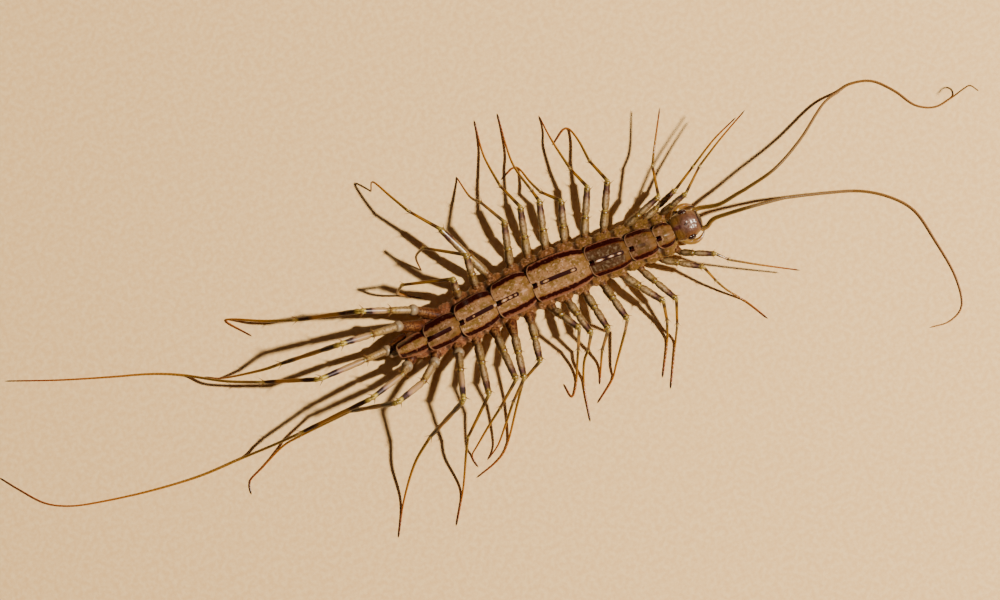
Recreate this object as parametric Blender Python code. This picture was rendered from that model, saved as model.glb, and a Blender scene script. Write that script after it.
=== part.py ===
"""House centipede (Scutigera coleoptrata), a still life-size model resting on the floor.

The head points to +X, the animal's left side to +Y and its back to +Z, in metres.
Sizes below are in millimetres. The pose was drawn on a plan sheet, as seen from above:
on the sheet x runs to the right and y runs down, and z is the height over the floor.
"""
import math

import bmesh
import bpy
from mathutils import Vector

MM = 0.001
GAP = 0.3
UP = Vector((0.0, 0.0, 1.0))

# The sheet and the model's frame
BODY_MIDDLE_ON_SHEET = (54.0, 28.5)
HEADING = math.radians(23.7)
BODY_MIDDLE = Vector((4.67, 1.23, 0.0))

# The body's line bows gently to the left between its ends
LINE_MIDDLE = 0.25
LINE_BOW = 0.7
LINE_REACH = 15.0

# Half the width of the back's plates at stations along the body, head to tail
PLATE_WIDTHS = ((14.2, 1.28), (8.0, 1.68), (2.0, 2.10), (-7.0, 1.85), (-12.0, 1.45), (-16.5, 0.55))
PLATE_THICK = 0.5
PLATE_DROP = 0.7
CROWN = 4.0
CROWN_LOSS_FRONT = 0.25
CROWN_LOSS_REAR = 0.5
BODY_HALF_LENGTH = 16.0
# Each plate's rear and front edge
PLATES = ((12.35, 13.88), (9.45, 12.05), (5.25, 9.15), (-0.85, 4.95),
          (-4.85, -1.15), (-9.0, -5.15), (-12.6, -9.3), (-15.7, -12.9))
PLATE_COLUMNS = (-1.0, -0.86, -0.6, -0.28, -0.1, 0.1, 0.28, 0.6, 0.86, 1.0)
PLATE_ROWS = (0.0, 0.08, 0.3, 0.6, 0.88, 1.0)
# The breathing slit at a plate's rear: its notch, and the raised hood before it
STOMA_NOTCH, NOTCH_SHARE = 0.4, 0.1
STOMA_RISE, HOOD_SHARE, HOOD_ROWS = 0.14, 0.28, 0.2
# Rounded rear corners, and how far the front edge draws back at its ends
CORNER_START = 0.5
CORNER_DEPTH = 0.75
FRONT_DRAW = 0.25
# A plate is this much narrower at its ends, and follows the body's taper by this share
PLATE_WAIST = 0.07
PLATE_TAPER = 0.45
EDGE_THINNING = 0.3

# The trunk under the plates, in three lengths
TRUNK_LENGTHS = (("trunk_front", 13.9, 4.8), ("trunk_middle", 4.5, -4.9), ("trunk_rear", -5.2, -14.3))
TRUNK_INSET = 0.75
TRUNK_LEAST = 0.8
TRUNK_BOTTOM = 1.2
TRUNK_CHAMFER = 0.42
SEGMENT_WAIST = 0.9
# Its flat top and bottom are this share of its width, and its shoulders lie this far below the plates' gap
TRUNK_FLAT = 0.6
TRUNK_SHOULDER, TRUNK_TOP = 0.15, 0.05

# Head, at its own stations: along, half width, top, bottom
HEAD_RINGS = ((14.2, 0.95, 3.45, 2.30), (14.45, 1.22, 3.68, 2.10), (15.0, 1.40, 3.86, 1.92),
              (15.7, 1.46, 3.95, 1.86), (16.3, 1.38, 3.90, 1.84), (16.8, 1.18, 3.68, 1.86),
              (17.15, 0.88, 3.38, 1.95), (17.35, 0.52, 3.05, 2.20))
HEAD_LINE = -0.35
HEAD_SIDES = 16
# Cross-sections of head and tail are a little squarer than an ellipse
OVAL_POWER = 2.3
EYE_CENTRE = (15.85, 1.2, 3.12)
EYE_RADII = (0.5, 0.42, 0.46)
EYE_SEGMENTS, EYE_RINGS = 14, 9

# Legs: fifteen pairs, one to each segment
LEG_PAIRS = 15
FIRST_STATION = 13.5
LEG_PITCH = 1.95
COXA_LENGTH = 1.05
COXA_COLLAR = 0.35
COXA_HEIGHT = 1.9
HIP_HEIGHT = 2.05
LEG_SIDES = 6
# Radii down a leg: coxa, hip knob, neck, prefemur, femur, knee, tibia, tarsus, tip
COXA_R, HIP_R, NECK_R, PREFEMUR_R, FEMUR_R = 0.55, 0.44, 0.32, 0.42, 0.37
KNEE_R, TIBIA_R, TARSUS_R, TIP_R = 0.29, 0.28, 0.25, 0.15
JOINT_REACH = 0.42
LEG_SCALE = {1: 0.76, 2: 0.76, 3: 0.85, 15: 0.86}
LAST_PAIR_ROOT = 0.98
# The last pair's whip stays stouter, because it is so long
LAST_TIP_R = 0.19
TARSUS_STEP = 1.7
TAPER_POWER = 1.3
# Rings within this height of the floor are set down on it
TOE_SNAP = 0.09
# Spines stand on the upper three facets before each joint, where the leg doesn't turn towards them,
# and on the top one alone on the last pair
SPINE_RINGS = (4, 7, 10)
SPINE_SIDES = (1, 2, 3)
LAST_SPINE_SIDES = (2,)
SPINE_TURN = 0.3
SPINE_LENGTH = 0.95
# How far a spine stands out from its facet against along the leg, and what is left of its width at the tip
SPINE_OUT, SPINE_AHEAD, SPINE_TIP = 0.8, 0.6, 0.22
# A spine is left out where its tip would come this close to another leg's middle line
SPINE_ROOM = 0.9
LAST_HIPS = {"left": (-16.15, 0.50), "right": (-15.25, -2.00)}
# How much a coxa turns towards its knee
COXA_AIM = 0.6

# Each leg on the sheet: knee, ankle, then along the tarsus to its tip (x, y, height)
LEG_POSES = {
    "left": (
        ((68.5, 19.4, 5.6), (69.9, 16.6, 5.9), (71.9, 14.0, 6.4), (74.2, 11.3, 7.0)),
        ((67.5, 19.0, 3.3), (69.3, 16.6, 4.1), (71.3, 14.0, 4.7), (73.3, 12.0, 5.6)),
        ((65.8, 19.7, 4.6), (65.2, 16.6, 3.4), (65.4, 14.8, 2.9), (65.9, 11.1, 3.3)),
        ((60.7, 18.1, 4.0), (58.9, 16.1, 2.2), (57.8, 14.0, 0.9), (56.6, 12.8, 0), (55.4, 14.3, 0)),
        ((58.7, 18.7, 3.5), (57.0, 16.9, 2.4), (55.5, 14.6, 1.4), (54.7, 13.2, 0.5), (54.0, 11.8, 0)),
        ((56.1, 20.1, 3.7), (54.0, 19.2, 2.4), (53.0, 18.2, 1.2), (51.6, 16.7, 0), (50.3, 17.8, 0)),
        ((53.9, 20.1, 3.8), (53.1, 19.0, 3.0), (51.6, 17.0, 1.4), (50.8, 15.2, 0.4), (49.8, 11.6, 0)),
        ((52.0, 20.7, 4.8), (50.0, 18.6, 2.6), (48.7, 16.3, 1.0), (48.1, 14.8, 0.3), (47.5, 12.3, 0)),
        ((50.4, 22.2, 6.3), (48.0, 20.2, 3.2), (47.0, 19.7, 1.9), (45.7, 17.8, 0)),
        ((44.0, 22.9, 4.2), (40.8, 21.1, 3.7), (39.0, 19.6, 3.0), (37.3, 18.2, 2.0), (37.1, 19.1, 0)),
        ((46.6, 25.5, 7.6), (42.3, 24.8, 4.2), (41.6, 25.7, 2.3), (42.1, 27.0, 0)),
        ((45.3, 27.9, 8.0), (40.2, 28.5, 4.8), (39.8, 29.3, 2.4), (40.8, 29.6, 0), (42.0, 29.8, 0)),
        ((36.1, 31.1, 6.5), (29.5, 32.0, 3.3), (26.5, 32.1, 1.8), (22.6, 32.0, 0), (25.0, 33.5, 0)),
        ((34.1, 34.4, 8.6), (28.0, 36.4, 4.2), (26.2, 37.0, 3.3), (22.4, 37.8, 0.8), (20.7, 37.7, 0)),
        ((32.0, 37.9, 5.5), (26.2, 38.2, 3.4), (22.5, 38.1, 2.3), (18.2, 37.5, 0), (15.0, 37.4, 0),
         (11.0, 37.7, 0), (6.0, 38.0, 0), (0.8, 38.1, 0)),
    ),
    "right": (
        ((71.5, 25.4, 4.2), (72.9, 26.0, 3.8), (76.0, 26.5, 3.2), (79.7, 27.0, 2.6)),
        ((70.3, 26.7, 3.4), (71.6, 28.1, 2.0), (72.7, 29.0, 1.0), (74.7, 30.2, 0), (76.6, 31.7, 0)),
        ((67.6, 29.9, 3.6), (67.7, 32.5, 1.9), (67.5, 34.6, 0), (67.1, 38.6, 0)),
        ((66.3, 30.1, 3.1), (66.7, 32.1, 1.4), (66.7, 34.4, 0), (66.3, 37.5, 0)),
        ((62.7, 31.9, 4.6), (62.5, 33.1, 1.8), (61.6, 36.5, 0.7), (61.2, 38.0, 0), (59.9, 40.1, 0)),
        ((60.8, 32.9, 4.4), (60.2, 35.0, 1.6), (60.1, 36.4, 0.4), (60.0, 38.2, 0)),
        ((59.1, 33.3, 4.0), (58.8, 35.0, 1.9), (58.4, 36.2, 1.2), (58.4, 38.5, 0), (59.0, 41.9, 0)),
        ((57.9, 32.8, 4.9), (57.8, 35.0, 2.0), (57.7, 36.8, 0.6), (57.6, 38.5, 0), (57.2, 39.7, 0),
         (56.5, 38.6, 0)),
        ((54.0, 36.1, 5.0), (52.3, 38.1, 2.6), (51.7, 40.5, 1.4), (50.7, 44.5, 0), (49.7, 46.1, 0),
         (47.9, 47.6, 0)),
        ((52.4, 37.8, 5.5), (51.3, 40.2, 3.0), (50.5, 42.6, 1.6), (49.8, 44.5, 0.6), (48.9, 45.8, 0)),
        ((51.6, 37.9, 7.0), (50.0, 40.8, 4.0), (48.8, 42.7, 2.6), (47.7, 44.6, 1.2), (47.2, 45.6, 0),
         (47.7, 46.5, 0)),
        ((48.9, 39.4, 6.8), (46.8, 43.7, 3.0), (46.6, 45.5, 2.4), (46.3, 49.0, 0.3), (45.7, 52.3, 0)),
        ((46.4, 40.0, 9.1), (43.0, 43.7, 4.4), (41.5, 46.3, 2.6), (40.4, 50.0, 0.4), (39.9, 53.5, 0)),
        ((39.8, 40.2, 9.0), (35.0, 41.1, 4.6), (30.0, 43.6, 1.6), (28.2, 44.7, 0.4), (26.2, 46.8, 0),
         (25.0, 48.1, 0), (25.1, 49.2, 0)),
        ((37.2, 39.8, 7.0), (30.0, 43.3, 4.0), (27.8, 44.3, 2.6), (24.0, 45.9, 0), (20.0, 47.6, 0),
         (15.0, 49.1, 0), (10.0, 50.2, 0), (7.0, 50.6, 0), (4.5, 50.3, 0), (2.0, 49.0, 0), (0.2, 47.9, 0)),
    ),
}
# Where the joint between prefemur and femur lies off the straight way to the knee
LEG_BENDS = {
    ("left", 15): (36.5, 36.0, 4.3),
    ("right", 14): (42.3, 38.2, 6.0),
    ("right", 15): (40.2, 37.5, 5.0),
}
BEND_SHARE = 0.45
BEND_RISE = 0.62

# Antennae: the root and the boss behind it in the body's axes, then points on the sheet to the tip
ANTENNA_ROOT = (17.62, 1.0, 2.75)
ANTENNA_BOSS = (16.5, 0.98, 2.62)
ANTENNA_R, LASH_R, LASH_TIP_R = 0.33, 0.25, 0.14
ANTENNA_STEP = 1.5
# The gap before the boss is a little wider, because the stalk turns inward out of it
BOSS_GAP = 0.42
LASH_GAP = 0.36
BOSS_SPREAD = 1.25
BOSS_SIDES = 8
STALK_LENGTH = 7.5
ANTENNAE = {
    "left": (
        (71.3, 20.6, 3.2), (72.2, 20.3, 3.6), (73.5, 19.5, 4.0), (75.0, 18.6, 4.4), (77.5, 16.8, 4.8),
        (80.0, 13.9, 3.2), (82.2, 10.5, 1.4), (83.8, 9.2, 0.3), (85.0, 8.4, 0), (87.2, 8.1, 0),
        (89.5, 9.1, 0), (91.5, 10.5, 0), (93.5, 10.7, 0), (95.1, 9.8, 0), (96.3, 8.9, 1.5),
        (96.9, 8.6, 3.2), (97.6, 9.1, 5.0),
    ),
    "right": (
        (71.3, 21.9, 3.3), (73.0, 21.3, 3.8), (75.0, 20.7, 4.4), (78.0, 19.9, 3.3), (79.2, 19.7, 2.5),
        (82.5, 19.3, 1.0), (86.0, 19.1, 0), (89.0, 19.7, 0), (91.5, 21.1, 0), (93.5, 24.0, 0),
        (95.5, 27.5, 0), (96.2, 30.5, 0), (95.0, 32.1, 0), (93.2, 32.7, 0),
    ),
}

# Mouthparts, for the left side: points along, across from the body's line, and up
FORCIPULE = ((14.2, 0.48, 1.46), (14.6, 0.52, 1.44), (15.1, 1.30, 1.34), (16.0, 1.72, 1.32),
             (16.8, 1.55, 1.28), (17.35, 0.95, 1.25))
FORCIPULE_R, FORCIPULE_TIP_R = 0.34, 0.12
MOUTH_STEP = 0.8
PALP = ((15.75, 0.42, 1.46), (15.95, 0.50, 1.02), (16.5, 0.48, 0.80), (17.2, 0.32, 0.82))
PALP_R, PALP_TIP_R = 0.27, 0.14

# Tail piece behind the last plate: along, half width, top, bottom
TAIL_RINGS = ((-14.6, 0.27, 2.60, 1.75), (-15.2, 0.28, 2.58, 1.85), (-15.8, 0.26, 2.50, 1.95),
              (-16.2, 0.18, 2.40, 2.05))
TAIL_LINE = -0.5
TAIL_SIDES = 8

# Colours, sRGB hex, and how rough each surface is
COLOURS = {
    "plate": ("#8A6B4C", 0.32),
    "trunk": ("#7A4A26", 0.45),
    "head": ("#8B5A2B", 0.30),
    "eye": ("#23100F", 0.22),
    "leg": ("#A08A5E", 0.38),
    "antenna": ("#7D5A22", 0.45),
    "mouthpart": ("#A5702E", 0.35),
}


def clear_scene():
    """Remove whatever the new file holds."""
    for old in list(bpy.data.objects):
        bpy.data.objects.remove(old, do_unlink=True)


def linear(channel):
    """One sRGB channel as linear light."""
    if channel <= 0.04045:
        return channel / 12.92
    return ((channel + 0.055) / 1.055) ** 2.4


def make_material(name, hex_colour, roughness):
    """A plain finish for one sub-part."""
    material = bpy.data.materials.new(name)
    material.use_nodes = True
    shader = material.node_tree.nodes["Principled BSDF"]
    channels = [int(hex_colour[i:i + 2], 16) / 255 for i in (1, 3, 5)]
    shader.inputs["Base Color"].default_value = (*[linear(c) for c in channels], 1.0)
    shader.inputs["Roughness"].default_value = roughness
    shader.inputs["Metallic"].default_value = 0.0
    return material


def add_object(name, bm, finish):
    """One closed node from a bmesh whose points are in body millimetres."""
    for vert in bm.verts:
        vert.co = (vert.co + BODY_MIDDLE) * MM
    bmesh.ops.recalc_face_normals(bm, faces=bm.faces)
    mesh = bpy.data.meshes.new(name)
    bm.to_mesh(mesh)
    bm.free()
    mesh.shade_smooth()
    mesh.set_sharp_from_angle(angle=math.radians(40))
    node = bpy.data.objects.new(name, mesh)
    bpy.context.scene.collection.objects.link(node)
    mesh.materials.append(make_material(name, *COLOURS[finish]))
    return node


def from_sheet(x, y, z):
    """A point of the plan sheet in the body's own axes."""
    right = x - BODY_MIDDLE_ON_SHEET[0]
    ahead = BODY_MIDDLE_ON_SHEET[1] - y
    along = right * math.cos(HEADING) + ahead * math.sin(HEADING)
    across = ahead * math.cos(HEADING) - right * math.sin(HEADING)
    return Vector((along, across, z))


def body_line(x):
    """How far left of the X axis the body's middle line runs at a station."""
    reach = max(-LINE_REACH, min(LINE_REACH, x))
    return LINE_MIDDLE - LINE_BOW * math.sin(math.pi * reach / (2 * LINE_REACH)) ** 2


def plate_half_width(x):
    """Half the width over the plates, eased between the named stations."""
    stations = PLATE_WIDTHS
    if x >= stations[0][0]:
        return stations[0][1]
    for (x1, w1), (x0, w0) in zip(stations, stations[1:]):
        if x >= x0:
            t = (x - x0) / (x1 - x0)
            return w0 + (w1 - w0) * t * t * (3 - 2 * t)
    return stations[-1][1]


def crown_height(x):
    """Height of the back's middle line."""
    loss = CROWN_LOSS_FRONT if x > 0 else CROWN_LOSS_REAR
    return CROWN - loss * (abs(x) / BODY_HALF_LENGTH) ** 2


def back_height(x, share):
    """Height of the back at a share of its half width, from -1 to 1."""
    return crown_height(x) - PLATE_DROP * abs(share) ** 2.2


def trunk_half_width(x):
    """Half the width of the trunk, where the legs stand."""
    return max(plate_half_width(x) - TRUNK_INSET, TRUNK_LEAST)


def skin_rings(bm, rings):
    """Close a row of rings, each with the same number of points, into one body."""
    faces = {}
    count = len(rings[0])
    for i in range(len(rings) - 1):
        for k in range(count):
            after = (k + 1) % count
            corners = (rings[i][k], rings[i][after], rings[i + 1][after], rings[i + 1][k])
            faces[i, k] = bm.faces.new(corners)
    bm.faces.new(list(reversed(rings[0])))
    bm.faces.new(rings[-1])
    return faces


def add_tube(bm, path, radii, sides):
    """A closed tube whose rings keep one facet flat underneath."""
    rings = []
    last = len(path) - 1
    for i, centre in enumerate(path):
        before = (path[max(i, 1)] - path[max(i, 1) - 1]).normalized()
        after = (path[min(i, last - 1) + 1] - path[min(i, last - 1)]).normalized()
        along = (before + after).normalized()
        side = along.cross(UP).normalized()
        over = side.cross(along)
        turn = after - before
        ring = []
        for k in range(sides):
            angle = math.tau * (k + 0.5) / sides - math.pi / 2
            offset = (side * math.cos(angle) + over * math.sin(angle)) * radii[i]
            if turn.length > 0.01:
                inward = turn.normalized()
                mitre = 1 / max(along.dot(before), 0.7) - 1
                offset += inward * offset.dot(inward) * mitre
            place = centre + offset
            if place.z < TOE_SNAP:
                place.z = 0.0
            ring.append(bm.verts.new(place))
        rings.append(ring)
    return skin_rings(bm, rings)


def rest_height(radius, sides):
    """Height of a tube's middle when its lowest facet lies on the floor."""
    return radius * math.cos(math.pi / sides)


def smooth_points(points, step):
    """Points on a smooth curve through the given ones, about one step apart."""
    ends = [points[0] * 2 - points[1], *points, points[-1] * 2 - points[-2]]
    out = [points[0].copy()]
    for p0, p1, p2, p3 in zip(ends, ends[1:], ends[2:], ends[3:]):
        pieces = max(1, round((p2 - p1).length / step))
        for n in range(1, pieces + 1):
            t = n / pieces
            out.append(0.5 * (p1 * 2 + (p2 - p0) * t + (p0 * 2 - p1 * 5 + p2 * 4 - p3) * t * t
                              + (p1 * 3 - p0 - p2 * 3 + p3) * t ** 3))
    return out


def taper(points, start, end):
    """Radii that shrink along a path from start to end."""
    lengths = [0.0]
    for a, b in zip(points, points[1:]):
        lengths.append(lengths[-1] + (b - a).length)
    return [start + (end - start) * (run / lengths[-1]) ** TAPER_POWER for run in lengths]


def settle(points, radii, sides):
    """Lift the points of a tube so that no ring reaches below the floor."""
    for point, radius in zip(points, radii):
        point.z = max(point.z, rest_height(radius, sides))


def grow_spine(bm, face, axis, length, neighbours):
    """Draw one facet out into a spine that leans along the axis, where there is room."""
    centre = face.calc_center_median()
    lean = (face.normal * SPINE_OUT + axis * SPINE_AHEAD).normalized()
    if any(line_distance(centre + lean * length, route) < SPINE_ROOM for route in neighbours):
        return
    tip = bmesh.ops.extrude_discrete_faces(bm, faces=[face])["faces"][0]
    for vert in tip.verts:
        vert.co = centre + (vert.co - centre) * SPINE_TIP + lean * length


def line_distance(point, route):
    """How far a point lies from a row of straight pieces."""
    nearest = math.inf
    for a, b in zip(route, route[1:]):
        share = (point - a).dot(b - a) / (b - a).length_squared
        nearest = min(nearest, (point - a.lerp(b, max(0.0, min(1.0, share)))).length)
    return nearest


def leg_station(pair):
    """Where a pair of legs stands along the body."""
    return FIRST_STATION - (pair - 1) * LEG_PITCH


def leg_roots(side, pair, knee):
    """The coxa's root on the trunk, its collar and the hip, in body millimetres."""
    sign = 1 if side == "left" else -1
    if pair == LEG_PAIRS:
        x = TRUNK_LENGTHS[-1][2] - GAP
        root = Vector((x, body_line(x) + sign * LAST_PAIR_ROOT, COXA_HEIGHT))
        return root, root - Vector((COXA_COLLAR, 0, 0)), Vector((*LAST_HIPS[side], HIP_HEIGHT))
    x = leg_station(pair)
    root = Vector((x, body_line(x) + sign * (trunk_half_width(x) + GAP), COXA_HEIGHT))
    aim = Vector((knee.x - root.x, knee.y - root.y, 0)).normalized()
    way = (Vector((0, sign, 0)) + aim * COXA_AIM).normalized()
    hip = root + way * COXA_LENGTH
    hip.z = HIP_HEIGHT
    return root, root + Vector((0, sign * COXA_COLLAR, 0)), hip


def between(a, b, reach):
    """A point on the way from a to b, at a distance from a."""
    return a + (b - a).normalized() * reach


def joint_reach(a, joint, b):
    """How far from a joint its full thickness starts, longer where it bends sharply."""
    turn = (joint - a).normalized().dot((b - joint).normalized())
    return JOINT_REACH * (1 + 0.5 * (1 - turn))


def leg_route(side, pair):
    """A leg's middle line: upper points with a ring each, and the tarsus."""
    posed = [from_sheet(*point) for point in LEG_POSES[side][pair - 1]]
    knee, ankle, tarsus = posed[0], posed[1], posed[1:]
    root, collar, hip = leg_roots(side, pair, knee)
    if (side, pair) in LEG_BENDS:
        bend = from_sheet(*LEG_BENDS[side, pair])
    else:
        bend = hip.lerp(knee, BEND_SHARE)
        bend.z = hip.z + (knee.z - hip.z) * BEND_RISE
    at_bend, at_knee = joint_reach(hip, bend, knee), joint_reach(bend, knee, ankle)
    upper = [root, collar, hip, between(hip, bend, JOINT_REACH), between(bend, hip, at_bend), bend,
             between(bend, knee, at_bend), between(knee, bend, at_knee), knee,
             between(knee, ankle, at_knee), between(ankle, knee, JOINT_REACH)]
    return upper, smooth_points(tarsus, TARSUS_STEP)


def build_leg(side, pair, routes):
    """One whole leg: coxa, hip, prefemur, femur, tibia and tarsus in one body."""
    scale = LEG_SCALE.get(pair, 1.0)
    upper, foot = routes[side, pair]
    neighbours = [a + b for key, (a, b) in routes.items() if key != (side, pair)]
    radii = (COXA_R, COXA_R, HIP_R, PREFEMUR_R * 0.95, PREFEMUR_R, NECK_R, FEMUR_R, FEMUR_R * 0.96,
             KNEE_R, TIBIA_R, TIBIA_R)
    radii = [max(radius * scale, TARSUS_R) for radius in radii]
    foot_radii = taper(foot, TARSUS_R, LAST_TIP_R if pair == LEG_PAIRS else TIP_R)
    settle(foot, foot_radii, LEG_SIDES)
    path = upper + foot
    bm = bmesh.new()
    faces = add_tube(bm, path, radii + foot_radii, LEG_SIDES)
    bmesh.ops.recalc_face_normals(bm, faces=bm.faces)
    for ring in SPINE_RINGS:
        axis = (path[ring + 1] - path[ring]).normalized()
        way_on = (path[ring + 2] - path[ring + 1]).normalized()
        for k in LAST_SPINE_SIDES if pair == LEG_PAIRS else SPINE_SIDES:
            face = faces[ring, k]
            if face.normal.dot(way_on) < SPINE_TURN:
                grow_spine(bm, face, axis, SPINE_LENGTH * scale, neighbours)
    return add_object(f"leg_{side}_{pair:02d}", bm, "leg")


def build_antenna(side):
    """An antenna: its stout stalk and the long lash beyond it."""
    sign = 1 if side == "left" else -1
    root = Vector((ANTENNA_ROOT[0], HEAD_LINE + sign * ANTENNA_ROOT[1], ANTENNA_ROOT[2]))
    points = smooth_points([root, *[from_sheet(*point) for point in ANTENNAE[side]]], ANTENNA_STEP)
    lengths = [0.0]
    for a, b in zip(points, points[1:]):
        lengths.append(lengths[-1] + (b - a).length)
    cut = next(i for i, length in enumerate(lengths) if length > STALK_LENGTH)
    stalk = points[:cut + 1]
    lash = [between(points[cut], points[cut + 1], LASH_GAP), *points[cut + 1:]]
    for name, part, ends in (("stalk", stalk, (ANTENNA_R, LASH_R)), ("lash", lash, (LASH_R, LASH_TIP_R))):
        radii = taper(part, *ends)
        settle(part, radii, LEG_SIDES)
        bm = bmesh.new()
        add_tube(bm, part, radii, LEG_SIDES)
        add_object(f"antenna_{side}_{name}", bm, "antenna")


def build_mouthpart(name, points, side, start_r, end_r):
    """A forcipule or palp that curls under the head."""
    sign = 1 if side == "left" else -1
    placed = [Vector((x, HEAD_LINE + sign * y, z)) for x, y, z in points]
    path = smooth_points(placed, MOUTH_STEP)
    bm = bmesh.new()
    add_tube(bm, path, taper(path, start_r, end_r), LEG_SIDES)
    return add_object(f"{name}_{side}", bm, "mouthpart")


def oval_ring(bm, x, line, half_width, top, bottom, sides):
    """A rounded cross-section that stands across the body."""
    middle, half_height = (top + bottom) / 2, (top - bottom) / 2
    ring = []
    for k in range(sides):
        angle = math.tau * (k + 0.5) / sides - math.pi / 2
        y = math.copysign(abs(math.cos(angle)) ** (2 / OVAL_POWER), math.cos(angle)) * half_width
        z = math.copysign(abs(math.sin(angle)) ** (2 / OVAL_POWER), math.sin(angle)) * half_height
        ring.append(bm.verts.new((x, line + y, middle + z)))
    return ring


def build_trunk(name, front, rear):
    """One length of trunk, pinched between its segments."""
    bm = bmesh.new()
    stations = {front, rear}
    for pair in range(1, LEG_PAIRS + 1):
        for x in (leg_station(pair), leg_station(pair) - LEG_PITCH / 2):
            if rear + GAP < x < front - GAP:
                stations.add(x)
    rings = []
    for x in sorted(stations):
        pinch = 1 - abs(math.sin(math.pi * (x - FIRST_STATION) / LEG_PITCH)) * (1 - SEGMENT_WAIST)
        half = trunk_half_width(x) * pinch
        line = body_line(x)
        ceiling = [back_height(x, half * share / plate_half_width(x)) - PLATE_THICK - GAP
                   for share in (1.0, TRUNK_FLAT)]
        shoulder, top = ceiling[0] - TRUNK_SHOULDER, ceiling[1] - TRUNK_TOP
        profile = ((TRUNK_FLAT, TRUNK_BOTTOM), (1.0, TRUNK_BOTTOM + TRUNK_CHAMFER),
                   (1.0, shoulder), (TRUNK_FLAT, top))
        right = [bm.verts.new((x, line + share * half, z)) for share, z in profile]
        left = [bm.verts.new((x, line - share * half, z)) for share, z in reversed(profile)]
        rings.append(right + left)
    skin_rings(bm, rings)
    return add_object(name, bm, "trunk")


def build_plate(number, rear, front):
    """One arched plate of the back, round at its rear corners, notched at its stoma."""
    bm = bmesh.new()
    layers = []
    for lift in (0.0, 1.0):
        layer = []
        for row in PLATE_ROWS:
            line = []
            for share in PLATE_COLUMNS:
                over = max(0.0, (abs(share) - CORNER_START) / (1 - CORNER_START))
                rear_edge = rear + CORNER_DEPTH * (1 - math.sqrt(1 - over * over))
                if abs(share) <= NOTCH_SHARE and number < len(PLATES):
                    rear_edge += STOMA_NOTCH
                front_edge = front - FRONT_DRAW * over ** 2
                x = rear_edge + (front_edge - rear_edge) * row
                half = plate_half_width((rear + front) / 2) * (1 - PLATE_WAIST * (2 * row - 1) ** 2)
                half += (plate_half_width(x) - half) * PLATE_TAPER
                z = back_height(x, share)
                if abs(share) <= HOOD_SHARE and row < HOOD_ROWS and number < len(PLATES):
                    z += STOMA_RISE
                z -= (1 - lift) * PLATE_THICK * (1 - EDGE_THINNING * abs(share) ** 3)
                line.append(bm.verts.new((x, body_line(x) + share * half, z)))
            layer.append(line)
        layers.append(layer)
    rows, columns = len(PLATE_ROWS), len(PLATE_COLUMNS)
    for layer in layers:
        for i in range(rows - 1):
            for j in range(columns - 1):
                bm.faces.new((layer[i][j], layer[i][j + 1], layer[i + 1][j + 1], layer[i + 1][j]))
    rim = [(0, j) for j in range(columns)] + [(i, columns - 1) for i in range(1, rows)]
    rim += [(rows - 1, j) for j in range(columns - 2, -1, -1)] + [(i, 0) for i in range(rows - 2, 0, -1)]
    low, high = layers
    for (i, j), (m, n) in zip(rim, rim[1:] + rim[:1]):
        bm.faces.new((low[i][j], low[m][n], high[m][n], high[i][j]))
    return add_object(f"plate_{number}", bm, "plate")


def ellipsoid(bm, centre, radii, segments, rings):
    """A closed ellipsoid."""
    made = bmesh.ops.create_uvsphere(bm, u_segments=segments, v_segments=rings, radius=1.0)
    for vert in made["verts"]:
        vert.co = Vector(c + r * p for c, r, p in zip(centre, radii, vert.co))


def combine(target, tools, operation):
    """Join closed tools to a node, or cut them out of it, in one step, and drop the tools."""
    group = bpy.data.collections.new("tools")
    for tool in tools:
        group.objects.link(tool)
    modifier = target.modifiers.new(operation.lower(), "BOOLEAN")
    modifier.operation = operation
    modifier.solver = "EXACT"
    modifier.operand_type = "COLLECTION"
    modifier.collection = group
    bpy.context.view_layer.update()
    evaluated = target.evaluated_get(bpy.context.evaluated_depsgraph_get())
    result = bpy.data.meshes.new_from_object(evaluated)
    target.modifiers.clear()
    target.data = result
    for tool in tools:
        bpy.data.objects.remove(tool, do_unlink=True)
    bpy.data.collections.remove(group)
    keep_largest(result)


def keep_largest(mesh):
    """Drop every closed surface of a mesh but its largest."""
    bm = bmesh.new()
    bm.from_mesh(mesh)
    left = set(bm.verts)
    surfaces = []
    while left:
        surface, waiting = set(), [left.pop()]
        while waiting:
            vert = waiting.pop()
            surface.add(vert)
            for edge in vert.link_edges:
                other = edge.other_vert(vert)
                if other in left:
                    left.discard(other)
                    waiting.append(other)
        surfaces.append(surface)
    area = {vert: sum(face.calc_area() for face in vert.link_faces) for vert in bm.verts}
    largest = max(surfaces, key=lambda surface: sum(area[vert] for vert in surface))
    bmesh.ops.delete(bm, geom=[vert for vert in bm.verts if vert not in largest], context="VERTS")
    bm.to_mesh(mesh)
    bm.free()


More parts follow.
